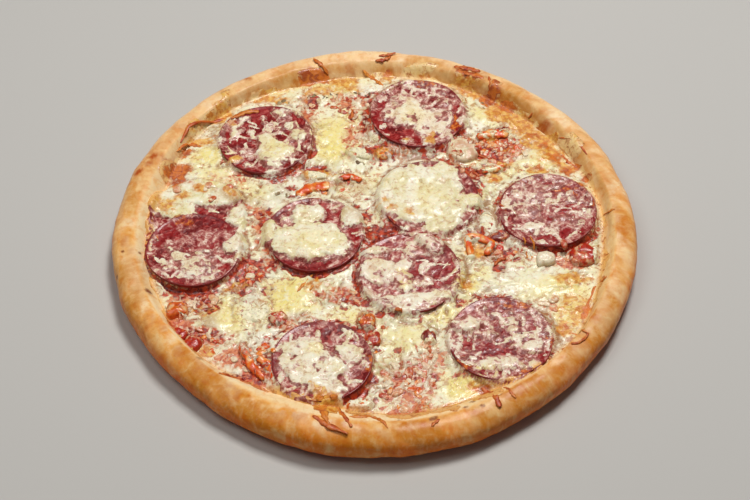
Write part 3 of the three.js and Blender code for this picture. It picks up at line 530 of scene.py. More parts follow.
# zones of colour in the cheese, as seen: kind, x, y, half widths, turn, strength. The dark red zones are sauce,
# together with painted shadow in the bands under the slices' near edges.
ZONES = [
    ("yellow", -25, 85, 13, 20, 0, .85), ("yellow", -22, 66, 11, 10, 0, .8), ("yellow", -100, 62, 13, 7, 10, .8), ("yellow", -93, 45, 14, 8, -20, .6),
    ("yellow", -40, 121, 12, 4, 0, .6), ("yellow", -60, 118, 8, 4, 30, .6), ("yellow", -20, 120, 14, 6, 0, .8), ("yellow", -72, 35, 10, 8, -30, .45),
    ("yellow", 68, 92, 8, 9, 0, .5), ("yellow", 88, 53, 14, 6, 10, .5), ("yellow", 104, 62, 10, 8, 0, .6), ("yellow", -50, -42, 15, 10, 20, .9),
    ("yellow", -45, -52, 17, 5, 0, .75), ("yellow", -79, -60, 9, 12, 0, .8), ("yellow", -88, -50, 8, 5, 0, .5), ("yellow", 42, -53, 14, 7, 20, .7),
    ("yellow", 51, -36, 7, 9, 0, .9), ("yellow", 48, -105, 14, 9, 10, 1.0), ("yellow", 108, -37, 12, 7, 0, .8), ("yellow", 108, -56, 8, 13, -20, .9),
    ("yellow", 15, -74, 14, 9, 0, .5), ("yellow", 62, -28, 8, 6, 0, .4), ("yellow", -15, -60, 14, 5, 0, .5), ("yellow", 60, 30, 6, 4, 0, .5),
    ("yellow", -36, -8, 14, 9, 0, .35), ("yellow", -60, 64, 8, 10, 0, .4), ("yellow", 24, 92, 8, 9, 0, .3), ("yellow", 30, 24, 10, 10, 0, .25),
    ("yellow", 15, -35, 4, 7, 0, .7), ("yellow", -33, -84, 6, 4, 0, .5), ("yellow", 90, -40, 20, 8, 0, .35), ("yellow", 34, -62, 6, 4, 0, .6),
    ("white", -54, 30, 8, 9, 0, .6), ("white", -64, 42, 10, 6, -20, .5), ("white", -5, 118, 9, 5, 0, .9), ("white", -38, 117, 10, 2.5, 0, .8),
    ("white", -30, 100, 10, 8, 0, .6), ("white", -12, 55, 10, 7, 0, .5), ("white", 24, 62, 14, 5, 0, .6), ("white", 62, 86, 6, 4, 0, .8),
    ("white", 64, 10, 6, 9, 0, .6), ("white", 72, -28, 8, 7, 0, .7), ("white", 74, -42, 5, 4, 0, .9), ("white", 22, -50, 20, 6, 5, .5),
    ("white", -58, -76, 7, 8, 0, .6), ("white", -68, -52, 8, 9, 0, .4), ("white", 75, -10, 7, 5, 0, .6), ("white", 6, 55, 8, 8, 0, .5),
    ("white", 84, 66, 6, 4, 0, .5), ("white", 96, -14, 5, 5, 0, .7), ("white", 5, -108, 5, 6, 0, .4), ("white", 56, 36, 6, 6, 0, .5),
    ("pink", -42, 95, 7, 10, 0, .5), ("pink", -84, 42, 10, 5, -10, .35), ("pink", -65, 8, 6, 13, 0, .7), ("pink", -62, -18, 5, 6, 0, .6),
    ("pink", -100, 36, 14, 6, 0, .45), ("pink", 50, 68, 11, 11, 0, .4), ("pink", 74, 66, 15, 10, 0, .9), ("pink", 48, 60, 8, 5, 0, .4),
    ("pink", -92, -74, 14, 6, -10, .6), ("pink", -76, -88, 10, 8, -20, .7), ("pink", -64, -102, 9, 7, -20, .9), ("pink", -109, -65, 6, 7, 0, .8),
    ("pink", -16, -44, 13, 6, 0, .6), ("pink", 18, -106, 14, 16, 0, .55), ("pink", 30, -90, 8, 8, 0, .5), ("pink", 106, -14, 12, 6, 0, .7),
    ("pink", 112, -22, 8, 4, 0, .6), ("pink", -15, 108, 14, 6, 0, .5), ("pink", -15, 78, 5, 16, 0, .5), ("pink", -6, -2, 8, 8, 0, .6),
    ("pink", -100, -48, 12, 5, 0, .7), ("pink", 60, -50, 10, 3, 0, .4), ("pink", 95, -52, 6, 4, 0, .5), ("pink", -52, 76, 4, 6, 0, .3),
    ("pink", -120, 12, 6, 8, 0, .5), ("pink", -46, -68, 8, 5, 0, .6), ("pink", -8, -88, 4, 12, 0, .6), ("pink", 68, -16, 12, 4, 0, .6),
    ("tan", -92, -63, 5, 6, 0, .6), ("tan", -85, 27, 10, 4, -30, .7), ("tan", -45, -22, 12, 3, 0, .4), ("tan", -12, 38, 10, 6, -20, .5),
    ("tan", 52, 62, 6, 5, 0, .6), ("tan", -66, -51, 3, 3, 0, .7), ("tan", 98, -22, 6, 3, 0, .6), ("tan", -43, -60, 8, 3, 10, .4),
    ("tan", -18, 15, 10, 4, -30, .5), ("tan", -72, 26, 5, 4, 0, .4), ("tan", 70, -25, 4, 5, 0, .5), ("tan", 82, 85, 6, 3, 0, .4),
    ("amber", -67, 110, 9, 3, 20, .9), ("amber", -57, 108, 6, 2.5, 0, .7), ("amber", -20, 125, 9, 5, 0, .8), ("amber", -27, 128, 6, 4, 0, .7),
    ("amber", -93, 97, 6, 5, 30, .8), ("amber", -106, 73, 7, 3, 0, .9), ("amber", -98, 91, 5, 2.5, 0, .9), ("amber", -92, 106, 3, 4, 0, .6),
    ("amber", -103, 33, 5, 3.5, -20, .9), ("amber", -109, 8.5, 5, 3.4, 0, .9), ("amber", -113, 27, 4, 3, 0, .8), ("amber", -122, 20, 5, 5, 0, .8), ("amber", -85, 30, 5, 3, -20, .7),
    ("amber", -84, 57, 4.4, 4, 0, .9), ("amber", -87, 86, 2.5, 3.5, 0, .7), ("amber", 33, 72, 3, 4.5, 0, 1.), ("amber", 17, 73, 3.4, 2.4, 0, .8),
    ("amber", 73, 95, 4, 6, -30, .8), ("amber", 92, 82, 8, 6, -20, .8), ("amber", 104, 75, 6, 5, 0, 1.), ("amber", 106, 64, 4, 8, 10, .9),
    ("amber", 113, 52, 5, 4, 0, .9), ("amber", 96, 50, 6, 3, 0, .8), ("amber", 70, 44, 4, 4, 0, .8), ("amber", 112, -32, 9, 4, 0, .7),
    ("amber", 108, -50, 8, 9, 0, .6), ("amber", 113, -56, 4, 10, -25, .9), ("amber", 103, -68, 5, 5, 0, .8), ("amber", 50, -37, 4, 4, 0, .7),
    ("amber", -27, -121, 6, 11, 10, 1.), ("amber", 54, -108, 8, 4, 0, .7), ("amber", 44, -119, 5, 2.5, 0, .7), ("amber", 52, -119, 3, 2.5, 0, .8),
    ("amber", -78, -38, 8, 3, 20, .6), ("amber", -35, -38, 3, 6, -40, .7), ("amber", -92, -83, 4, 4, 0, .7), ("amber", 7, 128, 5, 4, 0, .6),
    ("amber", 76, 55, 5, 3, 0, .7), ("amber", 3, 22, 4, 3, 0, .4), ("amber", 20, 14, 5, 3, -30, .5), ("amber", 8, 16, 5, 3, 20, .5),
    ("brown", -40, 128, 11, 6, 5, .85), ("brown", -118, 49, 8, 6, 30, .9), ("brown", -117, 41, 6, 6, 0, .8), ("brown", 58, 126, 9, 4, -22, .95),
    ("brown", 72, 111, 4.6, 4, 0, .9), ("amber", 56, 119, 9, 4, -20, .8), ("brown", 74, 118, 3, 4, 0, .8), ("brown", -105, 32, 2.5, 2, 0, .5), ("brown", -114, 64, 3, 3, 0, .8),
    ("brown", 120, 53, 3, 3, 0, .7), ("brown", 97, 52, 2.5, 2, 0, .6), ("brown", 124, 43, 3, 2.5, 0, .8), ("brown", 116, -56, 1.8, 8, -25, .7),
    ("brown", -29, -128, 4, 6, 20, .6), ("brown", 57, -109, 4, 3, 0, .8), ("brown", 8, 133, 3.4, 3, 0, .7), ("brown", -46, 108, 3.5, 5, 0, .55),
    ("brown", 106, -66, 3, 2.5, 0, .6), ("brown", 70, 43, 1.8, 1.8, 0, .6),
    ("sauce_and_shade", -103, -43, 13, 3.5, 0, .95), ("sauce_and_shade", -70, -24, 8, 5, -20, .85), ("sauce_and_shade", -72, -33, 8, 5, 20, .9), ("sauce_and_shade", -96, -52, 8, 5, 0, .7), ("amber", -94, -56, 7, 4, 0, .5),
    ("sauce_and_shade", -60, -93, 8, 10, -40, .3), ("sauce_and_shade", 28, 68, 16, 4, 0, .9), ("sauce_and_shade", 8, 74, 8, 5, -30, .7), ("sauce_and_shade", 5, 63, 6, 5, 0, .5),
    ("sauce_and_shade", 2, 2, 10, 5, 20, .7), ("sauce_and_shade", -8, 12, 5, 5, 0, .5), ("sauce_and_shade", -44, -24, 14, 3, 5, .8), ("sauce_and_shade", -12, -18, 6, 3, 10, .8),
    ("sauce_and_shade", -8, -44, 7, 3.5, 10, .7), ("sauce_and_shade", -12, -47, 6, 3, 10, .6), ("sauce_and_shade", 52, 50, 10, 5, -20, .6), ("sauce_and_shade", 58, 45, 4, 8, 20, .7), ("sauce_and_shade", 74, -1, 9, 4, 0, .6),
    ("sauce_and_shade", 112, -7, 12, 3.5, 15, .9), ("sauce_and_shade", 5, -57, 6, 3, 0, .7), ("sauce_and_shade", -12, -112, 8, 4, 20, .8), ("sauce_and_shade", -4, -104, 4, 6, 0, .7),
    ("sauce_and_shade", -4, -68, 5, 8, 0, .5), ("sauce_and_shade", -52, -64, 7, 4, 0, .5), ("sauce_and_shade", -74, -100, 6, 2.5, -25, .5), ("sauce_and_shade", 68, -100, 14, 2.5, 0, .5),
    ("sauce_and_shade", 92, -6, 8, 3, 0, .6), ("sauce_and_shade", 64, 60, 4, 6, 0, .4), ("sauce_and_shade", 84, 72, 10, 5, 0, .45), ("sauce_and_shade", -124, 8, 5, 7, 0, .7),
    ("sauce_and_shade", -4, 94, 4, 8, 0, .6), ("sauce_and_shade", -2, 84, 5, 5, 0, .6), ("sauce_and_shade", -55, 44, 12, 2.5, 30, .5), ("sauce_and_shade", 50, 8, 8, 3, 40, .4), ("sauce_and_shade", -14, 95, 2.5, 6, 0, .5),
    ("sauce_and_shade", 18, -100, 10, 12, 0, .28), ("sauce_and_shade", 74, 68, 13, 8, 0, .75), ("amber", 66, 74, 9, 4, 0, .6), ("amber", 84, 66, 6, 5, 0, .5), ("sauce_and_shade", -94, -72, 12, 4, -10, .5), ("sauce_and_shade", -66, -98, 7, 6, -30, .5), ("sauce_and_shade", -60, -84, 4, 8, 10, .3),
    ("sauce_and_shade", 72, -16, 12, 5, 0, .55), ("sauce_and_shade", 104, -10, 10, 5, 0, .6), ("sauce_and_shade", -14, -46, 9, 4, 0, .6), ("sauce_and_shade", -50, 36, 4, 3, 0, .5), ("sauce_and_shade", -64, 10, 4, 9, 0, .5),
    ("sauce_and_shade", -8, 84, 3, 10, 0, .5), ("sauce_and_shade", -40, 104, 5, 4, 0, .5), ("sauce_and_shade", -10, 110, 9, 3, 0, .5), ("sauce_and_shade", -88, 36, 5, 3, 0, .5), ("sauce_and_shade", 60, -46, 7, 2, 0, .5),
    ("olive", -35, 86, 5, 3, 0, .4), ("olive", -34, 47, 9, 5, 0, .5), ("olive", -56, 31, 6, 6, 0, .35), ("olive", -12, 63, 8, 5, 0, .55),
    ("olive", 62, 19, 6, 6, 0, .5), ("olive", 54, -4, 6, 4, 0, .6),
    ("olive", -30, 55, 8, 4, 0, .35), ("olive", 4, -94, 6, 4, 0, .5), ("olive", -22, -50, 6, 4, 0, .35), ("olive", 30, -66, 5, 4, 0, .5),
    ("olive", 8, -62, 10, 4, 0, .4), ("olive", -28, -48, 5, 4, 0, .4), ("olive", 66, 31, 6, 3, 0, .45), ("olive", -62, 98, 3, 3, 0, .3),
    ("amber", 76, 100, 10, 9, -35, 1.0), ("amber", 87, 90, 10, 7, -40, 1.0), ("amber", 96, 75, 10, 8, -40, 1.0), ("brown", 80, 102, 7, 3, -40, .7), ("brown", 107, 60, 4, 5, -50, .6), ("amber", 104, 62, 7, 8, -40, .7), ("amber", 60, 115, 8, 4, -20, .8),
    ("brown", 69, 108, 6, 4, -30, .8), ("brown", 95, 79, 4, 3, 0, .6), ("brown", 101, 70, 3, 3, 0, .6), ("brown", 113, 49, 4, 3, -50, .7), ("brown", 119, 34, 4, 5, 0, .8), ("sauce_and_shade", 120, 28, 4, 5, 0, .6), ("sauce_and_shade", -4, -50, 6, 3, 0, .7), ("sauce_and_shade", 4, 0, 5, 5, 0, .8),
    ("sauce_and_shade", -3, -5, 6, 7, 30, .8), ("sauce_and_shade", 12, 3, 8, 4, 20, .9), ("sauce_and_shade", -76, -27, 10, 7, 0, 1.0), ("sauce_and_shade", -76, -40, 9, 4, 10, .6), ("sauce_and_shade", -61, -41, 6, 4, 0, .4),
    ("sauce_and_shade", -3, -41, 7, 4, 0, .8), ("sauce_and_shade", -17, -68, 6, 4, 0, .5), ("sauce_and_shade", 57, 1, 6, 4, 0, .6), ("sauce_and_shade", 69, -25, 5, 3, 0, .5), ("sauce_and_shade", -34, 50, 9, 3.5, -10, .6),
    ("sauce_and_shade", -3, 66, 7, 4, 20, .7), ("sauce_and_shade", -63, -95, 5, 6, 0, .4), ("amber", 57, -12, 6, 5, 0, .8), ("amber", -34, 46, 9, 3, 0, .7), ("amber", 3, 63, 5, 4, 0, .7),
    ("amber", -35, 117, 12, 4, 0, .7), ("amber", -19, 118, 12, 4, 0, .6), ("pink", 12, 66, 8, 5, 0, .7), ("pink", 12, -122, 10, 4, 0, .5), ("pink", 25, -122, 8, 3, 0, .5),
    ("pink", -45, -97, 5, 8, 0, .5), ("pink", -79, 18, 6, 6, 0, .6), ("tan", 13, 117, 6, 4, 0, .6), ("tan", 45, 117, 8, 4, 0, .7),
    ("olive", 95, -48, 5, 3, 0, .4), ("olive", -33, -33, 4, 5, 0, .4), ("olive", 125, -2, 3, 8, 0, .4), ("olive", -74, -46, 8, 3, -30, .4),
]
# the olive tint is greenish-grey: painted shade in the hollows of the cheese, and the grey of mushroom near the
# mushroom slices
TINT = {
    "yellow": srgb(250, 230, 138), "white": srgb(250, 245, 222), "pink": srgb(226, 182, 156), "tan": srgb(196, 152, 96),
    "amber": srgb(222, 152, 46), "brown": srgb(190, 96, 32), "sauce_and_shade": srgb(140, 32, 22), "olive": srgb(168, 152, 96),
}


EDGE_CHEESE = [3.2, 3.2, 3.6, 2.6, 2.2, 3.6, 4.0, 2.2, 3.2, 3.4]   # how much cheese laps over each slice's edge
ROSY = [0.25, 0.70, 0.10, 0.75, 0.45, 0.10, 0.60, 0.35, 0.60, 0.0]   # how thin and pink the cheese on each slice is
SHREDS = [0.55, 1.1, 0.2, 1.7, 1.0, 0.3, 0.95, 0.9, 1.45, 0.0]     # how many shreds of cheese cross each slice
# where a dark red gap shows beside a slice, painted with sauce and with painted shadow under the slice's raised edge:
# direction and half width in degrees, strength
GAPS = [
    [(-45, 50, .8), (-100, 25, .6)], [(-40, 30, .5), (150, 30, .4)], [(-110, 40, .8), (0, 30, .5)], [(-70, 50, .9), (150, 30, .4)],
    [(-100, 60, 1.0), (170, 25, .5)], [(-85, 60, .9), (175, 30, .5)], [(-175, 35, .7), (120, 25, .8), (-60, 30, .1)], [(-50, 40, .9), (45, 30, .6), (85, 35, .6)],
    [(-90, 50, .2), (-20, 25, .4), (90, 35, .4)], [(140, 40, .6)],
]


def gap_at(i, x, y, far):
    """Share of the dark red gap beside slice i."""
    ang = np.degrees(np.arctan2(y - SLICES[i][1], x - SLICES[i][0]))
    g = np.zeros_like(far)
    for a, w, k in GAPS[i]:
        d = (ang - a + 180) % 360 - 180
        g = np.maximum(g, k * np.exp(-(d / w) ** 2))
    width = 2.4 + 1.6 * N1.fbm(x + 9 * i, y, 7, 2)
    return g * (1 - smooth(width, width + 1.6, far)) * smooth(-1.2, -0.2, far)


VEIL = {"red": -0.30, "orange": -0.12, "dark": 0.0, "mushroom": 0.18, "mushroom_dark": 0.0, "cheese": -9, "mound": -0.1}
CRUMBS = []                      # small lumps of cheese on each slice: x, y, radius, height
_rng = np.random.RandomState(31)
for _s, _n in zip(SLICES, (26, 20, 10, 34, 30, 14, 30, 22, 32, 4)):
    _rows = []
    for _ in range(_n):
        _rr, _tt = _s[2] * 0.93 * math.sqrt(_rng.uniform()), _rng.uniform(0, TAU)
        _rows.append((_s[0] + _rr * math.cos(_tt), _s[1] + _rr * math.sin(_tt), _rng.uniform(1.2, 3.2), _rng.uniform(0.5, 1.2)))
    CRUMBS.append(_rows)


def cover_field(i, x, y):
    """Distance in mm inside the cheese that lies on slice i, and its thickness."""
    d, th = np.full(np.shape(x), -30.0), np.zeros(np.shape(x))
    for cx, cy, a, b, turn, t in COVERS[i]:
        e = inside(x, y, cx, at_height(cy, 15.5), a, b, turn)
        th = np.where(e > d, t, th)
        d = np.maximum(d, e)
    rag = N2.fbm(x + 40 * i, y, 7.0, 4) * 2.4 + N3(x, y + 31 * i, 2.4) * 0.6
    d = d + rag
    far = np.hypot(x - SLICES[i][0], y - SLICES[i][1]) - SLICES[i][2]
    e = 1.3 - 3.0 * gap_at(i, x, y, np.maximum(far, 0.0)) - np.abs(far + 0.6) + EDGE_CHEESE[i] * N5.fbm(x + 77 * i, y, 15, 3) - 0.35 + 0.5 * N3(x, y, 2.6)
    th = np.where(e > d, 1.1, th)
    d = np.maximum(d, e)
    for cx, cy, r, t in CRUMBS[i]:
        e = inside(x, y, cx, cy, r, r * 0.8, cx * 50) + 0.8 * N3(x + 7, y, 2.2)
        th = np.where(e > d, t, th)
        d = np.maximum(d, e)
    return d, th


def sheet(d, t):
    """Height of melted cheese over what carries it, d mm inside its edge."""
    k = np.clip(d / 5.5, 0, 1)
    return np.where(d > 0, t * (k * (2 - k)) ** 0.85, np.maximum(-4.0, 0.9 * d))


# ------------------------------------------------------------------ melted cheese
def cheese():
    n = 300
    a, b = np.meshgrid(np.linspace(-1, 1, n + 1), np.linspace(-1, 1, n + 1), indexing="ij")
    rad = np.maximum(np.abs(a), np.abs(b))
    with np.errstate(divide="ignore", invalid="ignore"):
        ang = np.where(np.abs(a) > np.abs(b), (math.pi / 4) * b / a + np.where(a < 0, math.pi, 0),
                       np.where(b == 0, 0, math.pi / 2 - (math.pi / 4) * a / b + np.where(b < 0, math.pi, 0)))
    ang = np.nan_to_num(ang)
    edge = r_in(ang) + 9.0
    x, y = rad * edge * np.cos(ang), rad * edge * np.sin(ang)
    r, t = np.hypot(x, y), np.arctan2(y, x)
    inner = r_in(t) - r
    low = bed(x, y)
    rim = slope_top(x, y)
    # shreds of cheese, not fully melted: short worm-like swells
    rng = np.random.RandomState(5)
    shred = np.zeros_like(x)
    pool = np.zeros_like(x)
    for cx, cy, pa, pb, h in POOLS:
        pool = np.maximum(pool, np.exp(-(((x - cx) / (pa * 0.8)) ** 2 + ((y - cy) / (pb * 0.8)) ** 2)))
    for _ in range(1500):
        rr, tt = 133 * math.sqrt(rng.uniform()), rng.uniform(0, TAU)
        cx, cy = rr * math.cos(tt), rr * math.sin(tt)
        ln, wd, turn = rng.uniform(2.5, 8.0), rng.uniform(1.1, 2.0), rng.uniform(0, math.pi)
        c, s = math.cos(turn), math.sin(turn)
        near = (np.abs(x - cx) < ln + 3) & (np.abs(y - cy) < ln + 3)
        u = (x[near] - cx) * c + (y[near] - cy) * s
        v = -(x[near] - cx) * s + (y[near] - cy) * c + 0.06 * rng.uniform(-1, 1) * u * u
        d = np.hypot(np.maximum(0, np.abs(u) - ln / 2), v) / wd
        shred[near] = np.maximum(shred[near], rng.uniform(0.35, 1.0) * np.clip(1 - d * d, 0, 1))
    lumps = N1.fbm(x, y, 9.0, 4)
    fine = N3.fbm(x, y, 2.6, 2)
    rough = (1 - 0.75 * pool)
    busy = np.zeros_like(x)                                        # chopped bits and sauce under the cheese
    for kind, cx, cy, za, zb, turn, k in ZONES:
        if kind in ("pink", "sauce_and_shade"):
            busy = np.maximum(busy, spot(x, y, cx, at_height(cy, 12.5), za, zb, turn, 0.5, 0.3, cx * 0.1) * k)
    top = low + (1.15 + 0.7 * busy) * shred * rough + 0.8 * lumps * (0.45 + 0.55 * rough) + 0.22 * fine * rough - 0.5 * busy
    fade = smooth(-1.0, 6.0, inner)
    top = mix2(low, top, fade)
    # beyond the inner edge of the rim: under its surface, or a film that ran up it
    run, run_t = np.full(x.shape, -30.0), np.zeros_like(x)
    for cx, cy, ra, rb, turn, th in RUN_UP:
        e = inside(x, y, cx, at_height(cy, 14.5), ra, rb, turn)
        run_t = np.where(e > run, th, run_t)
        run = np.maximum(run, e)
    run = run + N2.fbm(x - 50, y + 20, 7.0, 2) * 1.9 + N3(x + 20, y, 3.4) * 0.4
    ragged = inner + 2.0 * N2.fbm(x + 9, y, 10.0, 2) + 0.5 * N3(x, y - 9, 3.4) + 1.0
    on_rim = rim + np.where(run > 0, sheet(run, run_t * 0.5) * (0.8 + 0.25 * N1(x, y, 4.5)), np.maximum(-2.2, run * 0.9))
    lap = rim + np.clip(0.4 * ragged, -2.2, 0.7)
    level = np.where(inner > 0, np.maximum(top, lap), np.maximum(lap, on_rim))
    level = np.maximum(level, np.where(run > 0, on_rim, -99))
    # up to the slices
    gaps = np.zeros_like(x)
    for i, (cx, cy, sr) in enumerate(q[:3] for q in SLICES[:9]):
        dist = np.hypot(x - cx, y - cy) + 1e-6
        far = dist - sr
        near = far < 7
        k = np.minimum(1, sr / dist[near])
        lip = slice_over(i, cx + (x[near] - cx) * k, cy + (y[near] - cy) * k) - 0.75
        g = gap_at(i, x[near], y[near], far[near])
        gaps[near] = np.maximum(gaps[near], g)
        w = (1 - smooth(0.0, 6.0, far[near])) * (1 - g) * np.clip(0.75 + 0.5 * N2.fbm(x[near] - 9 * i, y[near], 8, 3), 0, 1)
        level[near] = np.maximum(level[near], mix2(level[near], lip, w)) - 0.9 * g * (far[near] > 0.3)
    # over the slices
    cover = np.zeros_like(x)
    thin = np.zeros_like(x)
    for i, s in enumerate(SLICES):
        far = np.hypot(x - s[0], y - s[1]) - s[2]
        near = far < 9
        if not near.any():
            continue
        xs, ys = x[near], y[near]
        d, th = cover_field(i, xs, ys)
        dist = far[near]
        worm = 3.0 * (shred[near] - 0.42) + SHREDS[i] * N5.fbm(xs - 60 * i, ys + 30, 9, 3) + SHREDS[i] - 1.2
        worm = np.where(dist < -1.0, np.minimum(worm, 1.4), -9)
        small = worm > d
        th = np.where(small, 0.8, th)
        d = np.maximum(d, worm)
        over = slice_over(i, xs, ys) + 0.05
        drop = np.where(dist > -0.5, 0.9 * (dist + 0.5) + 0.09 * (dist + 0.5) ** 2, 0)
        lumpy = 1 + 0.28 * N1.fbm(xs, ys + 7 * i, 8.0, 3) + 0.10 * (shred[near] - 0.3)
        z = over - drop + sheet(d, th) * lumpy
        under = np.minimum(level[near], slice_under(i, xs, ys) - 0.35)
        lev = np.where(dist < 0.9, under, level[near])
        new = np.maximum(lev, np.where(d > -4, z, -99))
        cover[near] = np.where((z > lev) & (d > 0), 1.0, cover[near])
        rosy = np.maximum(np.where(small, 0.45, 1 - smooth(0.0, 3.4, d)), ROSY[i] * smooth(-0.5, 0.4, N4.fbm(xs + 50 * i, ys, 9, 3)))
        thin[near] = np.where((z > lev) & (d > -0.5) & (dist < 1.5), np.maximum(thin[near], rosy), thin[near])
        level[near] = new
    # cheese drawn over parts of the chunks and strips
    for j, row in enumerate(LUMPS.values()):
        lx, ly, la, lb, up, _, turn, _, kind = row
        near = np.hypot(x - lx, y - ly) < max(la, lb) + 4
        d = inside(x[near], y[near], lx, ly, la + 0.6, lb + 0.6, math.degrees(turn))
        veil = N5.fbm(x[near] + 13 * j, y[near], 5.0, 3) + VEIL.get(kind, -0.1)
        g = float(max(bed(np.array(lx), np.array(ly)), rim_top(np.array(lx), np.array(ly))))
        k = np.clip((d + 1.2) / 3.0, 0, 1)
        hat = g - 1.0 + (up + 1.15) * np.sqrt(k * (2 - k))
        level[near] = np.where((veil > 0) & (d > -1.2), np.maximum(level[near], hat), level[near])
    for j, (pts, w, th, lift) in enumerate(STRIPS.values()):
        for (xa, ya), (xb, yb) in zip(pts[:-1], pts[1:]):
            L2 = (xb - xa) ** 2 + (yb - ya) ** 2
            q = np.clip(((x - xa) * (xb - xa) + (y - ya) * (yb - ya)) / L2, 0, 1)
            d = w / 2 + 0.9 - np.hypot(x - xa - q * (xb - xa), y - ya - q * (yb - ya))
            near = d > 0
            veil = N5.fbm(x[near] - 17 * j, y[near] + 5, 4.5, 3) - (0.4 if j < 2 else 0.1)
            k = np.clip(d[near] / (w / 2 + 0.9), 0, 1)
            hat = bed(x[near], y[near]) - 0.6 + (lift + th / 2 + 0.9) * np.sqrt(k * (2 - k))
            level[near] = np.where(veil > 0, np.maximum(level[near], hat), level[near])
    z = level
    # ---- colour
    base = mix(srgb(242, 234, 186), srgb(250, 245, 220), 0.5 + 0.5 * N5.fbm(x, y, 12, 3))
    col = mix(base, srgb(242, 228, 156), smooth(0.1, 0.9, N4.fbm(x + 80, y, 16, 3)) * 0.5)
    col = mix(col, srgb(249, 242, 218), smooth(0.25, 0.85, shred) * 0.4)
    col = mix(col, mix(srgb(232, 218, 160), srgb(250, 243, 216), smooth(-0.5, 0.5, N1.fbm(x - 70, y, 7, 3))), cover * 0.75)
    rosy_slice = np.zeros_like(x)
    for i, q in enumerate(SLICES):
        rosy_slice = np.maximum(rosy_slice, ROSY[i] * (np.hypot(x - q[0], y - q[1]) < q[2] + 1))
    col = mix(col, srgb(244, 218, 198), cover * np.clip(rosy_slice, 0, 1) * 0.75)
    fields = {k: np.zeros_like(x) for k in ("meat", "sauce_and_shade", "amber", "brown")}
    order = ["yellow", "white", "olive", "pink", "tan", "sauce_and_shade", "amber", "brown"]
    for kind in order:
        for zone in ZONES:
            if zone[0] != kind:
                continue
            _, cx, cy, za, zb, turn, k = zone
            yy = at_height(cy, 12.8)
            near = (np.abs(x - cx) < 3.2 * max(za, zb)) & (np.abs(y - yy) < 3.2 * max(za, zb))
            if not near.any():
                continue
            m = spot(x[near], y[near], cx, yy, za, zb, turn, 0.55, 0.3, cx * 0.1) * k
            field = {"pink": "meat"}.get(kind, kind)
            if field in fields:
                keep = 1 - 0.85 * cover[near] if kind in ("sauce_and_shade", "pink") else 1.0
                fields[field][near] = np.maximum(fields[field][near], m * keep)
                m = m * keep * {"pink": 0.60, "sauce_and_shade": 0.42, "amber": 0.40, "brown": 0.45}[kind]
            # olive zones: painted greenish-grey shade with mushroom grey, patchy and weaker on the slices' cheese
            elif kind == "olive":
                m = m * (0.55 + 0.45 * smooth(-0.4, 0.4, N3.fbm(x[near], y[near], 4.0, 3))) * (1 - 0.6 * cover[near])
            col[near] = mix(col[near], TINT[kind], m)
    # crevices: darker orange-brown, painted shade together with the sauce and oil they hold; the edges of the cheese on
    # a slice are thin and rosy
    soft = blur(z, 3)
    pit = np.clip((soft - z) / 0.5, 0, 1)
    flat_here = (1 - cover) * smooth(0, 4, inner)
    col = mix(col, srgb(150, 84, 36), smooth(0.22, 0.95, pit) * 0.75 * flat_here * (1 - 0.5 * pool))
    fields["amber"] = np.maximum(fields["amber"], 0.5 * smooth(2.5, -1.0, inner) * smooth(45, 90, y) * smooth(-0.5, 0.3, N2.fbm(x + 33, y, 9, 3)))
    rim_film = (run > -0.5) & (inner < 2)
    film_edge = np.where(rim_film, 1 - smooth(0.0, 3.0, run), 0.0)
    film_tint = mix(srgb(236, 170, 76), srgb(253, 214, 144), smooth(10, 70, y))
    col = mix(col, film_tint, np.where(inner < 3, 0.88 * smooth(3, -1, inner), 0))
    col = mix(col, srgb(206, 118, 44), film_edge * 0.45)
    open_here = (1 - cover) * smooth(3, 9, inner)
    gap = 1 - smooth(0.12, 0.5, shred + 0.35 * np.clip(lumps, -1, 1))        # between the shreds
    # painted shadow in the dark red gaps beside the slices, added to the sauce
    gap_sauce_and_shade = gaps * (0.85 + 0.3 * N3(x, y, 2.5)) * (1 - 0.8 * cover)
    meat_field = np.maximum(fields["meat"] * (0.35 + 0.65 * gap), 0.20 * gap * smooth(0.1, 0.6, N2.fbm(x - 30, y + 60, 8.0, 3)) * (1 - pool) * open_here)
    sauce_and_shade_field = np.maximum(fields["sauce_and_shade"] * (0.45 + 0.55 * gap), 0.30 * gap * smooth(0.25, 0.65, N1.fbm(x + 130, y - 60, 8.0, 3)) * (1 - pool) * open_here)
    sauce_and_shade_field = np.maximum(sauce_and_shade_field, np.clip(gap_sauce_and_shade, 0, 1))
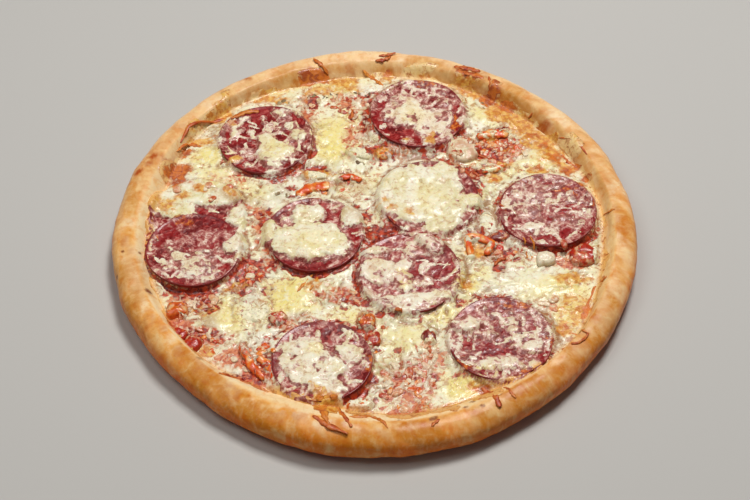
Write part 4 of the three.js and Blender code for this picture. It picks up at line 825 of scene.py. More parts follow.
    # a skirt and a floor close the body
    idx = np.arange((n + 1) ** 2).reshape(n + 1, n + 1)
    loop = np.concatenate([idx[:-1, 0], idx[-1, :-1], idx[:0:-1, -1], idx[0, :0:-1]])
    verts = np.stack([x, y, z], -1).reshape(-1, 3)
    colour = col.reshape(-1, 3)
    sk = verts[loop].copy()
    sk[:, 2] = np.minimum(sk[:, 2] - 0.5, 7.0)
    sk[:, :2] *= 0.985
    base_i = len(verts)
    verts = np.concatenate([verts, sk, [[0, 0, 7.0]]])
    colour = np.concatenate([colour, colour[loop], [[0.6, 0.5, 0.3]]])
    quads = np.stack([idx[:-1, :-1], idx[1:, :-1], idx[1:, 1:], idx[:-1, 1:]], -1).reshape(-1, 4)
    k = np.arange(len(loop))
    k2 = (k + 1) % len(loop)
    wall = np.stack([loop[k2], loop[k], base_i + k, base_i + k2], 1)
    floor = np.stack([np.full(len(k), base_i + len(loop)), base_i + k2, base_i + k], 1)
    uv = 0.5 + verts[:, :2] / 290.0
    tail = np.zeros(len(verts) - base_i)
    extra = {key: np.concatenate([val.reshape(-1), tail]) for key, val in
             (("rough", (1 - 0.8 * pool) * (1 - 0.45 * cover)), ("thin", thin), ("ridge", np.clip(shred, 0, 1)), ("highlight_off_rim", smooth(-1.5, 3.0, inner)), ("meat", meat_field), ("sauce_and_shade", sauce_and_shade_field), ("amber", fields["amber"]), ("brown", fields["brown"]))}
    return make("melted_cheese", verts, [quads, wall, floor], colour, extra, uv=uv)


def mix2(a, b, k):
    return a * (1 - k) + b * k


def blur(z, times):
    for _ in range(times):
        p = np.pad(z, 2, mode="edge")
        z = (p[:-4, 2:-2] + p[4:, 2:-2] + p[2:-2, :-4] + p[2:-2, 4:] + p[2:-2, 2:-2]) / 5
    return z


# ------------------------------------------------------------------ crust
# browned spots on the rim, as seen: kind, x, y, height, half widths, turn, strength
RIM_SPOTS = [
    ("brown", -40, 128, 15, 11, 6, 5, .85), ("burnt", -38, 129, 15, 6, 3, 20, .5), ("brown", 58, 127, 16, 9, 3.6, -22, .9), ("burnt", 66, 123, 16, 5, 2.2, -22, .6), ("gold", 55, 120, 13, 11, 4, -20, .8),
    ("brown", 58, 134, 19, 7, 2.6, -14, .9), ("brown", -118, 48, 13, 8, 8, 0, .8), ("brown", -79, 126, 18, 2.5, 2, 30, .8), ("brown", -132, 58, 17, 2.6, 3, 0, .9),
    ("brown", -134, 52, 17, 2.6, 2.2, 0, .9), ("brown", -139.5, 46, 18, 2.0, 2.6, 0, .95), ("brown", -114, 65, 13, 3, 2.4, 0, .8), ("brown", 8, 133, 15, 3.6, 3, 0, .8),
    ("brown", -15, 136, 17, 6, 2.6, 0, .5), ("brown", 78, 98.5, 15, 3, 2.4, 40, .9), ("brown", 86, 92, 15, 4, 2.6, 0, .8), ("brown", 102, 87, 17, 3.2, 3, 0, .85),
    ("brown", 97, 88, 16, 3, 2, 0, .6), ("brown", 124, 42, 14, 3, 2.6, 0, .8), ("brown", 135, 17, 17, 3.4, 1.4, 40, .5), ("brown", 73, 112, 13, 4.4, 4, 0, .9),
    ("gold", 28, 139, 17, 10, 6, -8, .8), ("gold", 42, 130, 15, 7, 6, 0, .6), ("gold", -55, 126, 15, 10, 6, 25, .7), ("gold", 83, 108, 15, 8, 6, -40, .8),
    ("gold", 6, 135, 16, 8, 6, 0, .6), ("gold", -75, 116, 14, 8, 6, 30, .5), ("gold", 98, 96, 16, 10, 7, -42, .6), ("gold", -92, 108, 13, 5, 6, 0, .7),
    ("gold", -25, 137, 17, 9, 5, 5, .4), ("gold", 118, 68, 15, 6, 12, 35, .6), ("gold", 66, 128, 17, 10, 5, -25, .4), ("gold", 134, 36, 16, 4, 14, 10, .5),
    ("gold", -143, 30, 19, 3, 16, 8, .5), ("gold", -140, -28, 19, 6, 12, -10, .6), ("gold", -135, -47, 19, 6, 14, -18, .7), ("gold", -92, -100, 19, 14, 7, -42, .6),
    ("gold", -60, -126, 19, 14, 7, -24, .6), ("gold", -10, -138, 19, 24, 6, 0, .5), ("gold", 60, -128, 18, 20, 7, 28, .4), ("gold", 130, -56, 19, 6, 16, 22, .4),
    ("dot", -143.5, -15, 17, .9, .9, 0, 1.), ("dot", -134, -17, 14, .7, .7, 0, 1.), ("dot", -146, -31, 16, 1., .8, 0, .9), ("dot", -126.5, -44, 15, 1.9, 1.7, 0, 1.),
    ("dot", -95, -91, 14, 1.8, 1.2, 20, 1.), ("dot", -89, -91, 13, .8, .6, 0, .9), ("dot", 47, -123, 14, 1.2, .9, 0, .9), ("dot", 56, -122, 15, 1.6, .8, 0, .9),
    ("dot", 30, -130, 15, 2.2, 1.4, 30, .9), ("dot", 51, -119, 13, 1.6, 1., 0, .8), ("dot", 43, -117, 13, 1., .7, 0, .9), ("dot", -106, -83, 13, .8, .5, 0, .6),
    ("dot", 12, -131, 15, .8, .5, 0, .6), ("dot", 117, -12, 13, 1, .8, 0, .5),
]
# dents and wrinkles of the rim: start, end (as seen), height there, width, depth
CREASES = [
    ((42, -139.5), (72, -130), 19, 1.5, 0.7), ((72, -130), (104, -109), 18, 1.3, 0.5), ((133, 51), (140, 52.5), 17, 1.2, 0.7),
    ((-143, -18), (-135, -16), 18, 2.0, 0.5), ((88, -104), (93, -111), 17, 1.2, 0.4), ((92, -102), (97, -108), 17, 1.0, 0.3),
    ((-74, -119), (-66, -127), 18, 3.0, 0.6), ((-55, -104), (-60, -116), 14, 4.0, 1.2), ((130, 33), (138, 33), 17, 1.4, 0.3), ((128, 12), (134, 11), 16, 1.6, 0.3),
    ((-118, -68), (-110, -64), 14, 2.0, 0.5), ((112, -79), (119, -84), 17, 1.6, 0.4), ((-150, 8), (-138, 4), 18, 2.2, 0.25), ((20, 131), (22, 140), 17, 2.0, 0.3),
]


SLOPE = np.zeros((720, 80))


def keep_slope(k, R2, Z2):
    """Heights of the finished inner slope on a grid of angle and share of its width."""
    on = k >= 0.95
    share = np.linspace(0, 1, 80)
    for j in range(720):
        ri, top = r_in(j / 720 * TAU), r_out(j / 720 * TAU) - CREST_IN
        r, z = R2[on, j][::-1], Z2[on, j][::-1]
        SLOPE[j] = np.interp(ri + share * (top + 3 - ri), r, z)


def slope_top(x, y):
    """Height of the finished inner slope; below its foot the plain profile."""
    r, t = np.hypot(x, y), np.arctan2(y, x)
    ri, top = r_in(t), r_out(t) - CREST_IN + 3
    s = np.clip((r - ri) / (top - ri), 0, 1) * 79
    a = (t / TAU * 720) % 720
    i, j = np.minimum(s.astype(int), 78), a.astype(int) % 720
    fs, fa = s - i, a - np.floor(a)
    z = (SLOPE[j, i] * (1 - fs) + SLOPE[j, i + 1] * fs) * (1 - fa) + (SLOPE[(j + 1) % 720, i] * (1 - fs) + SLOPE[(j + 1) % 720, i + 1] * fs) * fa
    return np.where(r < ri, rim_top(x, y), z)


def crust():
    n, rows = 720, []
    t = np.arange(n) / n * TAU
    ro, ri, cz = r_out(t), r_in(t), crest_z(t)
    marks = []                                           # (radius, height, rim share 0 outside to 1 inside)
    for k in (0.0, 0.25, 0.5, 0.75, 0.93):
        marks.append((k * (ro - CREST_IN), np.full(n, 0.0), -1.0 + k))
    outer = np.linspace(0, 1, 58)
    for k in outer:
        a = (k - 0.5) * math.pi
        half = cz / 2
        c, s = abs(math.cos(a)) ** 0.85, math.copysign(abs(math.sin(a)) ** 0.85, math.sin(a))
        marks.append((ro - CREST_IN + CREST_IN * c, half + half * s, k))
    for s in np.linspace(0, 1, 34)[1:]:
        k = 1 - s
        rr = ri + (ro - CREST_IN - ri) * k
        marks.append((rr, RIM_FOOT_Z + (cz - RIM_FOOT_Z) * np.sin(k * math.pi / 2), 1 + s))
    marks.append((ri - 3.0, np.full(n, 8.6), 2.1))
    marks.append((ri - 6.0, np.full(n, BASE_Z), 2.2))
    marks = marks[1:]
    R = np.stack([m[0] for m in marks])
    Z = np.stack([m[1] for m in marks])
    K = np.array([m[2] for m in marks])[:, None] + np.zeros((1, n))
    X, Y = R * np.cos(t), R * np.sin(t)
    # hand-made unevenness, along the surface's normal
    dR, dZ = np.gradient(R, axis=0), np.gradient(Z, axis=0)
    ln = np.hypot(dR, dZ) + 1e-9
    nr, nz = dZ / ln, -dR / ln
    arc = t * 150
    s_len = np.cumsum(ln, axis=0)
    wrap = np.cos(t) * 143, np.sin(t) * 143
    big = N1.fbm(wrap[0] + s_len * 0.6, wrap[1] + s_len * 0.8, 26, 3)
    mid = N2.fbm(X * 1.0 + Z * 0.9, Y * 1.0 - Z * 0.8, 9, 3)
    small = N3.fbm(X + Z, Y - Z, 3.2, 3)
    free = smooth(0.02, 0.25, K) * (1 - smooth(1.75, 2.0, K))
    push = (0.55 * big + 0.26 * mid + 0.07 * small) * free
    for (x0, y0), (x1, y1), h, w, depth in CREASES:
        ya, yb = at_height(y0, h), at_height(y1, h)
        ux, uy = x1 - x0, yb - ya
        L2 = ux * ux + uy * uy
        s = np.clip(((X - x0) * ux + (Y - ya) * uy) / L2, 0, 1)
        d = np.hypot(X - x0 - s * ux, Y - ya - s * uy) + 0.5 * N3(X, Y, 4.0)
        fade = np.sin(np.clip(s, 0.04, 0.96) * math.pi) ** 0.5
        push -= depth * np.exp(-(d / w) ** 2) * fade * (Z > 6)
    # shallow blisters where the dough puffed
    for cx, cy, h, br, up in ((-92, 108, 13, 6, .8), (92, 84, 15, 7, .9), (115, 68, 15, 8, .9), (28, 139, 17, 9, .6), (-52, 128, 16, 9, .5), (84, 106, 15, 8, .6),
                              (-108, 80, 13, 7, .7), (44, 131, 15, 6, .5), (-140, -40, 19, 11, .4), (-85, -106, 19, 12, .4), (125, -65, 18, 12, .4), (8, -140, 19, 16, .4)):
        push += up * np.exp(-(np.hypot(X - cx, Y - at_height(cy, h)) / br) ** 2) * (Z > 6)
    R2, Z2 = R + nr * push, Z + nz * push
    low = K[:, :1] <= 0.02
    R2 = np.where(K < 0.02, R, R2)
    Z2 = np.where(K < 0.02, Z, Z2)
    Z2 = np.maximum(Z2, 0.0)
    X2, Y2 = R2 * np.cos(t), R2 * np.sin(t)
    keep_slope(K[:, 0], R2, Z2)
    # ---- colour
    front = np.clip(-np.sin(t), -1, 1)[None, :] + 0 * K            # 1 at the near side
    n_big = N4.fbm(X + Z * 1.5, Y - Z, 22, 4)
    n_mid = N5.fbm(X + Z * 2, Y - Z * 2, 7, 4)
    n_fin = N1.fbm(X - Z * 2, Y + Z * 2, 2.2, 3)
    low_brown, orange, gold = srgb(214, 80, 0), srgb(242, 120, 0), srgb(216, 138, 30)
    peach, pale, cream = srgb(252, 202, 130), srgb(255, 226, 170), srgb(255, 234, 190)
    near_side = 0.5 + 0.5 * front                                  # 1 at the near side, 0 at the far one
    left = np.clip(-np.cos(t + 0.5), 0, 1)[None, :] + 0 * K
    right = np.clip(np.cos(t), 0, 1)[None, :] + 0 * K
    # dark brown at the foot, then orange, then peach; darker at the foot all round and on the near side further up:
    # partly a deeper bake, partly painted shade on the sides turned away from the lights
    low_to = 0.10 + 0.10 * near_side
    col = np.zeros(X.shape + (3,)) + low_brown
    col = mix(col, orange, smooth(low_to - 0.06, low_to + 0.20, K + 0.05 * n_mid))
    rise = smooth(0.30 + 0.22 * near_side - 0.12 * left, 0.72 + 0.26 * near_side - 0.16 * left, K + 0.08 * n_big)
    col = mix(col, mix(peach, srgb(244, 180, 84), near_side), rise * (0.95 - 0.2 * near_side))
    crest = np.exp(-((K - 0.93 - 0.05 * n_big) / 0.17) ** 2)       # browned patches along the top
    patches = smooth(-0.25, 0.5, n_big + 0.45 * n_mid + 0.25 * left + 0.15 * right)
    back = np.clip(np.sin(t), 0, 1)[None, :] + 0 * K
    col = mix(col, gold, np.clip(crest * patches * 0.85 * (1 - 0.75 * back), 0, 0.9))
    # painted highlight: a paler face on the outside of the far rim, which faces the lights
    col = mix(col, srgb(254, 214, 168), smooth(0.25, 0.55, K) * (1 - smooth(1.02, 1.22, K)) * back * 0.7)
    inner_k = smooth(1.06, 1.34, K + 0.06 * n_mid)
    col = mix(col, mix(cream, srgb(250, 208, 142), right), inner_k * (0.85 + 0.15 * n_mid))
    col = mix(col, srgb(230, 166, 82), inner_k * np.clip(back * (0.55 + 0.4 * n_mid + 0.35 * n_big), 0, 0.85))
    col = mix(col, srgb(222, 160, 88), smooth(1.15, 1.75, K) * 0.35 * smooth(0.55, 0.95, np.cos(t - 0.87) + 0.25 * N2.fbm(X, Y, 9, 3)))
    col = mix(col, srgb(214, 140, 50), smooth(0.25, 0.85, n_big) * 0.35 * smooth(0.3, 0.6, K) * (1 - inner_k))
    col = mix(col, srgb(204, 120, 34), smooth(0.45, 0.9, n_mid) * 0.30 * smooth(0.3, 0.6, K) * (1 - 0.7 * inner_k))
    col = mix(col, pale, smooth(0.20, 0.8, -n_mid) * 0.45 * smooth(0.35 + 0.3 * near_side, 0.6 + 0.35 * near_side, K))
    # painted highlights: pale bands along the crest and on the upper outer faces at the right, the left and the near
    # side
    col = mix(col, srgb(255, 238, 206), smooth(0.1, 0.7, -n_big - 0.4 * n_mid) * 0.5 * np.exp(-((K - 1.0) / 0.16) ** 2))
    col = mix(col, srgb(255, 226, 184), right * 0.42 * smooth(0.45, 0.8, K) * (1 - 0.5 * inner_k) * smooth(-0.4, 0.3, -n_mid))
    col = mix(col, srgb(255, 222, 176), left * 0.25 * smooth(0.45, 0.8, K) * (1 - 0.5 * inner_k) * smooth(-0.4, 0.3, n_mid))
    col = mix(col, srgb(255, 240, 212), smooth(0.15, 0.7, n_mid - 0.3 * n_big) * 0.5 * near_side * np.exp(-((K - 1.06) / 0.13) ** 2))
    # darker brown patches on the near side: partly a deeper bake, partly painted shade
    col = mix(col, srgb(196, 104, 14), smooth(0.0, 0.7, n_big + 0.5 * n_mid) * 0.4 * near_side * smooth(0.25, 0.5, K) * (1 - inner_k))
    col = mix(col, srgb(226, 160, 84), smooth(0.2, 0.8, n_fin) * 0.12)
    tints = {"brown": srgb(184, 82, 20), "burnt": srgb(146, 48, 10), "gold": srgb(210, 136, 40), "dot": srgb(128, 48, 16)}
    for kind, cx, cy, h, ra, rb, turn, k in RIM_SPOTS:
        yy = at_height(cy, h)
        near = (np.abs(X - cx) < 3.4 * max(ra, rb) + 1) & (np.abs(Y - yy) < 3.4 * max(ra, rb) + 1) & (Z > 7)
        if not near.any():
            continue
        soft = 0.35 if kind in ("dot",) else 0.7 if kind == "gold" else 0.5
        m = spot(X[near], Y[near], cx, yy, ra, rb, turn, soft, 0.15 if kind == "dot" else 0.35, cx * 0.1) * k
        if kind in ("brown", "burnt"):
            m = m * smooth(-0.9, 0.2, N3.fbm(X[near], Y[near], 3.0, 3))
        col[near] = mix(col[near], tints[kind], m)
    # underside: baked, floury, with darker patches
    under = K < 0.03
    uc = mix(srgb(214, 170, 108), srgb(150, 92, 40), smooth(0.0, 0.9, N2.fbm(X, Y, 20, 4))[..., ])
    uc = mix(uc, srgb(92, 52, 24), smooth(0.45, 0.9, N3.fbm(X, Y, 9, 4)) * 0.7)
    uc = mix(uc, srgb(236, 214, 176), smooth(0.3, 0.9, N4.fbm(X, Y, 12, 3)) * 0.5)
    col = np.where(under[..., None], uc, mix(uc, col, smooth(0.02, 0.14, K)))
    dip = 0.12 * N3.fbm(X, Y, 6, 3) + 0.1 * N2.fbm(X, Y, 14, 2)
    Z2 = np.where(K < 0.0, np.abs(dip) * 0.0, Z2)
    rows = len(marks)
    verts = np.stack([X2, Y2, Z2], -1).reshape(-1, 3)
    colour = col.reshape(-1, 3)
    cb, ct = len(verts), len(verts) + 1
    verts = np.concatenate([verts, [[0, 0, 0]], [[0, 0, BASE_Z]]])
    colour = np.concatenate([colour, [srgb(200, 150, 90)], [srgb(230, 200, 150)]])
    faces = ring_faces(n, rows, 0, cb, ct)
    # bake map: four strips for the rim, a disc for the underside, one for the hidden floor
    tot = s_len[-1].mean()
    quads = faces[0]
    uv = []
    j = np.arange(n)
    foot = int(np.argmax(K[:, 0] >= 0.0)) if (K[:, 0] >= 0).any() else 4
    seg = n // 4
    V = (s_len - s_len[foot][None, :])
    Vmax = V[-1].max()
    i_idx, j_idx = quads[:, 0] // n, quads[:, 0] % n
    i_top = quads[:, 3] // n
    quv = np.zeros((len(quads), 4, 2))
    for c, (ii, dj) in enumerate(((0, 0), (0, 1), (1, 1), (1, 0))):
        ri_, rj = i_idx + ii, j_idx + dj
        strip = j_idx // seg
        u = (rj - strip * seg) / seg
        v = V[ri_, rj % n] / Vmax
        su = 0.01 + 0.98 * u
        sv = 0.42 + 0.145 * strip + 0.01 + 0.125 * v
        px, py = X[ri_, rj % n], Y[ri_, rj % n]
        du, dv = 0.21 + px / 145 * 0.195, 0.21 + py / 145 * 0.195
        is_under = (i_idx < foot)
        hid_u, hid_v = 0.62 + px / 145 * 0.16, 0.21 + py / 145 * 0.16
        is_floor = (i_idx >= rows - 2)
        quv[:, c, 0] = np.where(is_under, du, np.where(is_floor, hid_u, su))
        quv[:, c, 1] = np.where(is_under, dv, np.where(is_floor, hid_v, sv))
    fan_b, fan_t = faces[1], faces[2]
    P = verts[:, :2]
    fb = np.stack([0.21 + P[fan_b][..., 0] / 145 * 0.195, 0.21 + P[fan_b][..., 1] / 145 * 0.195], -1)
    ft = np.stack([0.62 + P[fan_t][..., 0] / 145 * 0.16, 0.21 + P[fan_t][..., 1] / 145 * 0.16], -1)
    loop_uv = np.concatenate([quv.reshape(-1, 2), fb.reshape(-1, 2), ft.reshape(-1, 2)])
    return make("baked_crust", verts, faces, colour, uv=loop_uv)


# ------------------------------------------------------------------ slices
# darker, orange or bare places on the slices, as seen: slice, kind, x, y, half widths, turn, strength
SLICE_SPOTS = [
    (0, "orange", -86, 85, 2.6, 4, 0, .5), (1, "orange", 30, 120, 5, 4, 0, .9), (1, "orange", 47, 88, 4.4, 5.5, 0, .9), (1, "orange", 41, 108, 4, 4, 0, .5),
    (2, "orange", 14, 13, 6, 3, 20, .6), (3, "orange", 110, 33, 5.5, 4.5, 0, .7), (3, "orange", 124, 23, 4.5, 3, 10, .9), (3, "orange", 74, 22, 3, 7, 0, .5), (4, "orange", -125, -5, 5, 1.8, -20, .6),
    (4, "orange", -112, -17, 3, 3, 0, .5), (4, "orange", -109, 8, 5, 4, 0, .6), (5, "orange", -33, 30, 8, 3, -10, .8), (7, "orange", -4, -92, 2.5, 7, 0, .6), (8, "orange", 75, -51.5, 6, 2.4, -5, .9),
    (8, "orange", 84, -53, 5, 2, -20, .6), (8, "orange", 94, -78, 3, 5, 0, .6), (8, "orange", 50, -92, 5, 4, 0, .8), (8, "orange", 78, -97, 6, 2, 0, .6), (6, "orange", -10, -42, 5, 3, 0, .7),
    (9, "dark", -92, 22, 4, 3, 0, .8), (8, "dark", 66, -82, 12, 4, 5, .5), (0, "dark", -79, 71, 5, 3, 0, .5), (6, "dark", 35, -30, 12, 12, 0, .35), (4, "dark", -92, 8, 12, 4, -20, .5),
]


def sausage(i):
    cx, cy, rad = SLICES[i][:3]
    n, m = 168, 44
    a = np.arange(n) / n * TAU
    edge = slice_edge(i, a)
    rows_r, rows_z, kk = [], [], []
    ks = np.linspace(0, 1, m)[1:] ** 0.9
    under = [0.3, 0.6, 0.85, 0.96]
    for k in under:
        rows_r.append(edge * k), rows_z.append("u"), kk.append(-k)
    for off, h in ((-0.25, 0.12), (0.0, 0.5), (-0.12, 0.86)):
        rows_r.append(edge + off), rows_z.append(h), kk.append(1.1)
    for k in ks[::-1]:
        rows_r.append((edge - 0.35) * k), rows_z.append("t"), kk.append(k)
    R = np.stack(rows_r)
    K = np.array(kk)[:, None] + 0 * R
    X, Y = cx + R * np.cos(a), cy + R * np.sin(a)
    U = slice_under(i, X, Y)
    Z = np.zeros_like(X)
    relief = 0.16 * N1.fbm(X + 31 * i, Y, 4.0, 3) + 0.07 * N3.fbm(X, Y + 17 * i, 1.4, 2)
    rim_up = 0.35 * np.exp(-((1 - np.clip(K, 0, 1)) / 0.05) ** 2)
    for r, h in enumerate(rows_z):
        if h == "u":
            Z[r] = U[r]
        elif h == "t":
            Z[r] = U[r] + SLICE_T + (relief[r] * smooth(1.0, 0.93, K[r])) + rim_up[r] - 0.1
        else:
            Z[r] = U[r] + SLICE_T * h + (0.25 if h > 0.8 else 0)
    # ---- colour: meat and casing; the material adds fat and a film of cheese
    col = mix(srgb(148, 14, 16), srgb(110, 4, 6), smooth(-0.4, 0.5, N2.fbm(X + 60 * i, Y, 9, 3)))
    col = mix(col, srgb(160, 48, 48), smooth(0.1, 0.8, N4.fbm(X, Y + 45 * i, 6.0, 3)) * 0.5)
    casing = smooth(0.945, 0.985, np.clip(K, 0, 1.0)) * (K > 0) * (0.15 + 0.85 * smooth(-0.5, 0.2, N2.fbm(X - 33 * i, Y + 12, 14, 3)))
    col = mix(col, srgb(128, 14, 14), casing * 0.75)
    d, _ = cover_field(i, X, Y)
    mott = N5.fbm(X - 21 * i, Y + 9, 3.6, 4)
    film = np.clip(FILM[i] * (0.95 + 0.07 * np.clip(d, -9, 3)) + 0.30 * N4.fbm(X + 9 * i, Y - 40, 11, 3), 0, 1)
    orange = np.zeros_like(X)
    for si, kind, sx, sy, ra, rb, turn, k in SLICE_SPOTS:
        if si != i:
            continue
        m_s = spot(X, Y, sx, at_height(sy, 14.5), ra, rb, turn, 0.5, 0.35, sx * 0.1) * k * (K > 0)
        if kind == "orange":
            orange = np.maximum(orange, m_s)
            film = film * (1 - 0.7 * m_s)
        else:
            col = mix(col, srgb(122, 4, 12), m_s * 0.8)
            film = film * (1 - m_s)
    side = (np.abs(K - 1.1) < 0.01) | (K < 0)
    col = np.where(side[..., None], mix(srgb(120, 14, 18), srgb(150, 30, 28), smooth(-0.3, 0.5, N2.fbm(X, Y, 3.0, 2))), col)
    film = np.where(side, 0, film)
    casing = np.where(side, 1, casing)
    verts = np.stack([X, Y, Z], -1).reshape(-1, 3)
    colour = col.reshape(-1, 3)
    rows = len(rows_r)
    b, tp = len(verts), len(verts) + 1
    c = np.array(cx), np.array(cy)
    verts = np.concatenate([verts, [[cx, cy, float(slice_under(i, *c))]], [[cx, cy, float(slice_over(i, *c)) - 0.1]]])
    colour = np.concatenate([colour, [srgb(120, 30, 36)], [colour[-1]]])
    P = verts[:, :2] - np.array([cx, cy])
    K_all = np.concatenate([K.reshape(-1), [-0.01, 0.0]])
    uv = np.where((K_all < 0)[:, None], np.array([0.84, 0.16]) + P / 200.0, np.array([0.42, 0.56]) + P * (1 + 0.02 * (K_all > 1.05))[:, None] / 72.0)
    extra = {key: np.concatenate([val.reshape(-1), [val[0, 0], val[-1, 0]]]) for key, val in (("film", film), ("orange", orange), ("casing", casing))}
    return make(f"sausage_{i + 1}", verts, ring_faces(n, rows, 0, b, tp), colour, extra, uv=uv)


FILM = [0.50, 0.74, 0.60, 0.78, 0.76, 0.60, 0.66, 0.68, 0.70, 0.5]

# ------------------------------------------------------------------ lumps and strips
LUMPS = {
    "tomato_chunk_1": (-110.6, -56.4, 5.8, 5.2, 4.6, 2.6, 0.15, 0.55, "orange"), "tomato_chunk_2": (-107.6, -73.2, 4.6, 4.0, 3.6, 2.4, -0.5, 0.75, "red"),
    "tomato_chunk_3": (-100.4, -79.4, 5.0, 4.4, 3.8, 2.4, -0.4, 0.7, "red"), "tomato_chunk_4": (-54.6, -61.6, 5.0, 4.4, 3.0, 2.0, 0.6, 0.8, "red"),
    "tomato_chunk_5": (-5.6, -64.2, 5.2, 4.8, 3.4, 2.2, 0.3, 0.7, "orange"), "tomato_chunk_6": (-1.4, -76.4, 4.2, 4.8, 3.0, 2.0, 0.2, 0.8, "red"),
    "tomato_chunk_7": (-9.2, -119.4, 6.6, 3.2, 3.2, 1.6, 0.05, 0.6, "orange"), "tomato_chunk_8": (28.8, -74.6, 3.9, 4.4, 2.8, 2.0, 0.0, 0.9, "dark"),
    "tomato_chunk_9": (25.0, -123.6, 3.2, 4.6, 3.0, 1.6, -0.2, 0.6, "orange"), "tomato_chunk_10": (72.6, -2.0, 8.2, 3.6, 2.6, 2.0, 0.1, 0.8, "dark"),
    "tomato_wedge": (118.4, -16.6, 7.4, 7.2, 4.4, 2.4, 0.7, 0.6, "red"), "tomato_chunk_11": (5.0, 62.6, 5.0, 4.6, 3.2, 2.2, 0.5, 0.75, "orange"),
    "cheese_chunk": (96.2, -19.6, 5.2, 4.8, 4.4, 2.4, 0.1, 0.6, "cheese"), "cheese_mound": (52.2, 64.6, 8.6, 9.6, 3.8, 2.4, 0.3, 0.9, "mound"),
    "mushroom_slice_1": (-69.0, -54.6, 10.4, 9.0, 1.9, 2.0, 0.9, 0.85, "mushroom"), "mushroom_slice_2": (-36.4, 109.6, 6.8, 2.3, 1.8, 1.6, 0.05, 0.8, "mushroom_dark"),
    "mushroom_slice_3": (-36.0, 45.2, 7.4, 3.0, 2.0, 1.8, -0.1, 0.8, "mushroom"), "mushroom_slice_4": (64.4, 7.6, 4.0, 8.0, 2.4, 2.0, 0.1, 0.85, "mushroom"),
    "mushroom_slice_5": (-10.0, 62.4, 7.0, 4.4, 2.2, 2.0, -0.3, 0.85, "mushroom"),
}
STRIPS = {
    "pepper_strip_1": ([(-73.2, -82.0), (-67.6, -93.6), (-60.4, -102.6)], 4.4, 3.2, 1.2), "pepper_strip_2": ([(-63.8, -89.6), (-57.4, -95.0), (-54.6, -103.8)], 4.4, 3.4, 1.4),
    "pepper_strip_3": ([(61.6, 76.4), (70.0, 78.0), (79.0, 78.6)], 6.0, 3.4, 1.2), "pepper_strip_4": ([(61.6, 48.0), (68.6, 49.4), (76.0, 52.4)], 4.0, 3.0, 1.0),
    "pepper_strip_5": ([(-46.0, 30.0), (-37.4, 35.0), (-27.6, 36.0)], 6.2, 3.0, 1.0), "pepper_strip_6": ([(-21.4, 41.6), (-15.4, 43.2), (-9.0, 40.8)], 3.8, 2.8, 1.0),
    "pepper_ring": ([(54.2, -16.8), (52.6, -3.6), (61.6, -4.2), (66.6, -8.4), (62.6, -15.6)], 4.4, 3.4, 1.3),
}


def lump_colour(kind, X, Y, Z, h, seed):
    """h is 0 at the foot of the lump and 1 on top."""
    n1 = N2.fbm(X + Z * 1.3 + seed, Y - Z, 3.0, 3)
    n2 = N4.fbm(X - Z + seed, Y + Z * 1.2, 1.3, 2)
    if kind in ("red", "orange", "dark"):
        a, b = {"red": ((180, 38, 14), (208, 84, 30)), "orange": ((214, 86, 14), (238, 142, 44)), "dark": ((122, 26, 18), (176, 62, 30))}[kind]
        col = mix(srgb(*a), srgb(*b), smooth(-0.4, 0.6, n1))
        col = mix(col, srgb(110, 22, 14), smooth(0.3, 0.9, n2) * 0.5)
        return mix(col, srgb(236, 214, 168), smooth(0.25, 0.55, n1 + 0.3 * n2) * 0.55 * smooth(0.2, 0.7, h))
    if kind == "cheese":
        return mix(srgb(240, 226, 196), srgb(214, 182, 138), smooth(-0.2, 0.7, n1) * smooth(1.0, 0.3, h))
    if kind == "mound":
        col = mix(srgb(238, 222, 186), srgb(218, 174, 140), smooth(-0.3, 0.5, n1))
        return mix(col, srgb(196, 134, 76), smooth(0.1, 0.8, n2) * 0.3)
    if kind == "pepper":
        col = mix(srgb(224, 78, 10), srgb(246, 138, 38), smooth(-0.4, 0.6, n1))
        return mix(col, srgb(248, 216, 154), smooth(0.35, 0.75, n1 + 0.4 * n2) * 0.7)
    stripes = 0.5 + 0.5 * np.sin((X * 0.8 + Y * 0.6) * 2.6 + 2 * n1)
    if kind == "mushroom":
        col = mix(srgb(242, 230, 184), srgb(176, 158, 108), smooth(0.5, 0.95, stripes) * 0.5)
        col = mix(col, srgb(150, 128, 80), smooth(0.1, 0.8, n1) * 0.4)
        return mix(col, srgb(250, 242, 208), smooth(0.5, 0.85, h + 0.4 * n2) * 0.7)
    col = mix(srgb(136, 118, 80), srgb(92, 78, 54), smooth(0.3, 0.9, stripes))
    return mix(col, srgb(196, 180, 136), smooth(0.1, 0.7, n1) * 0.6)


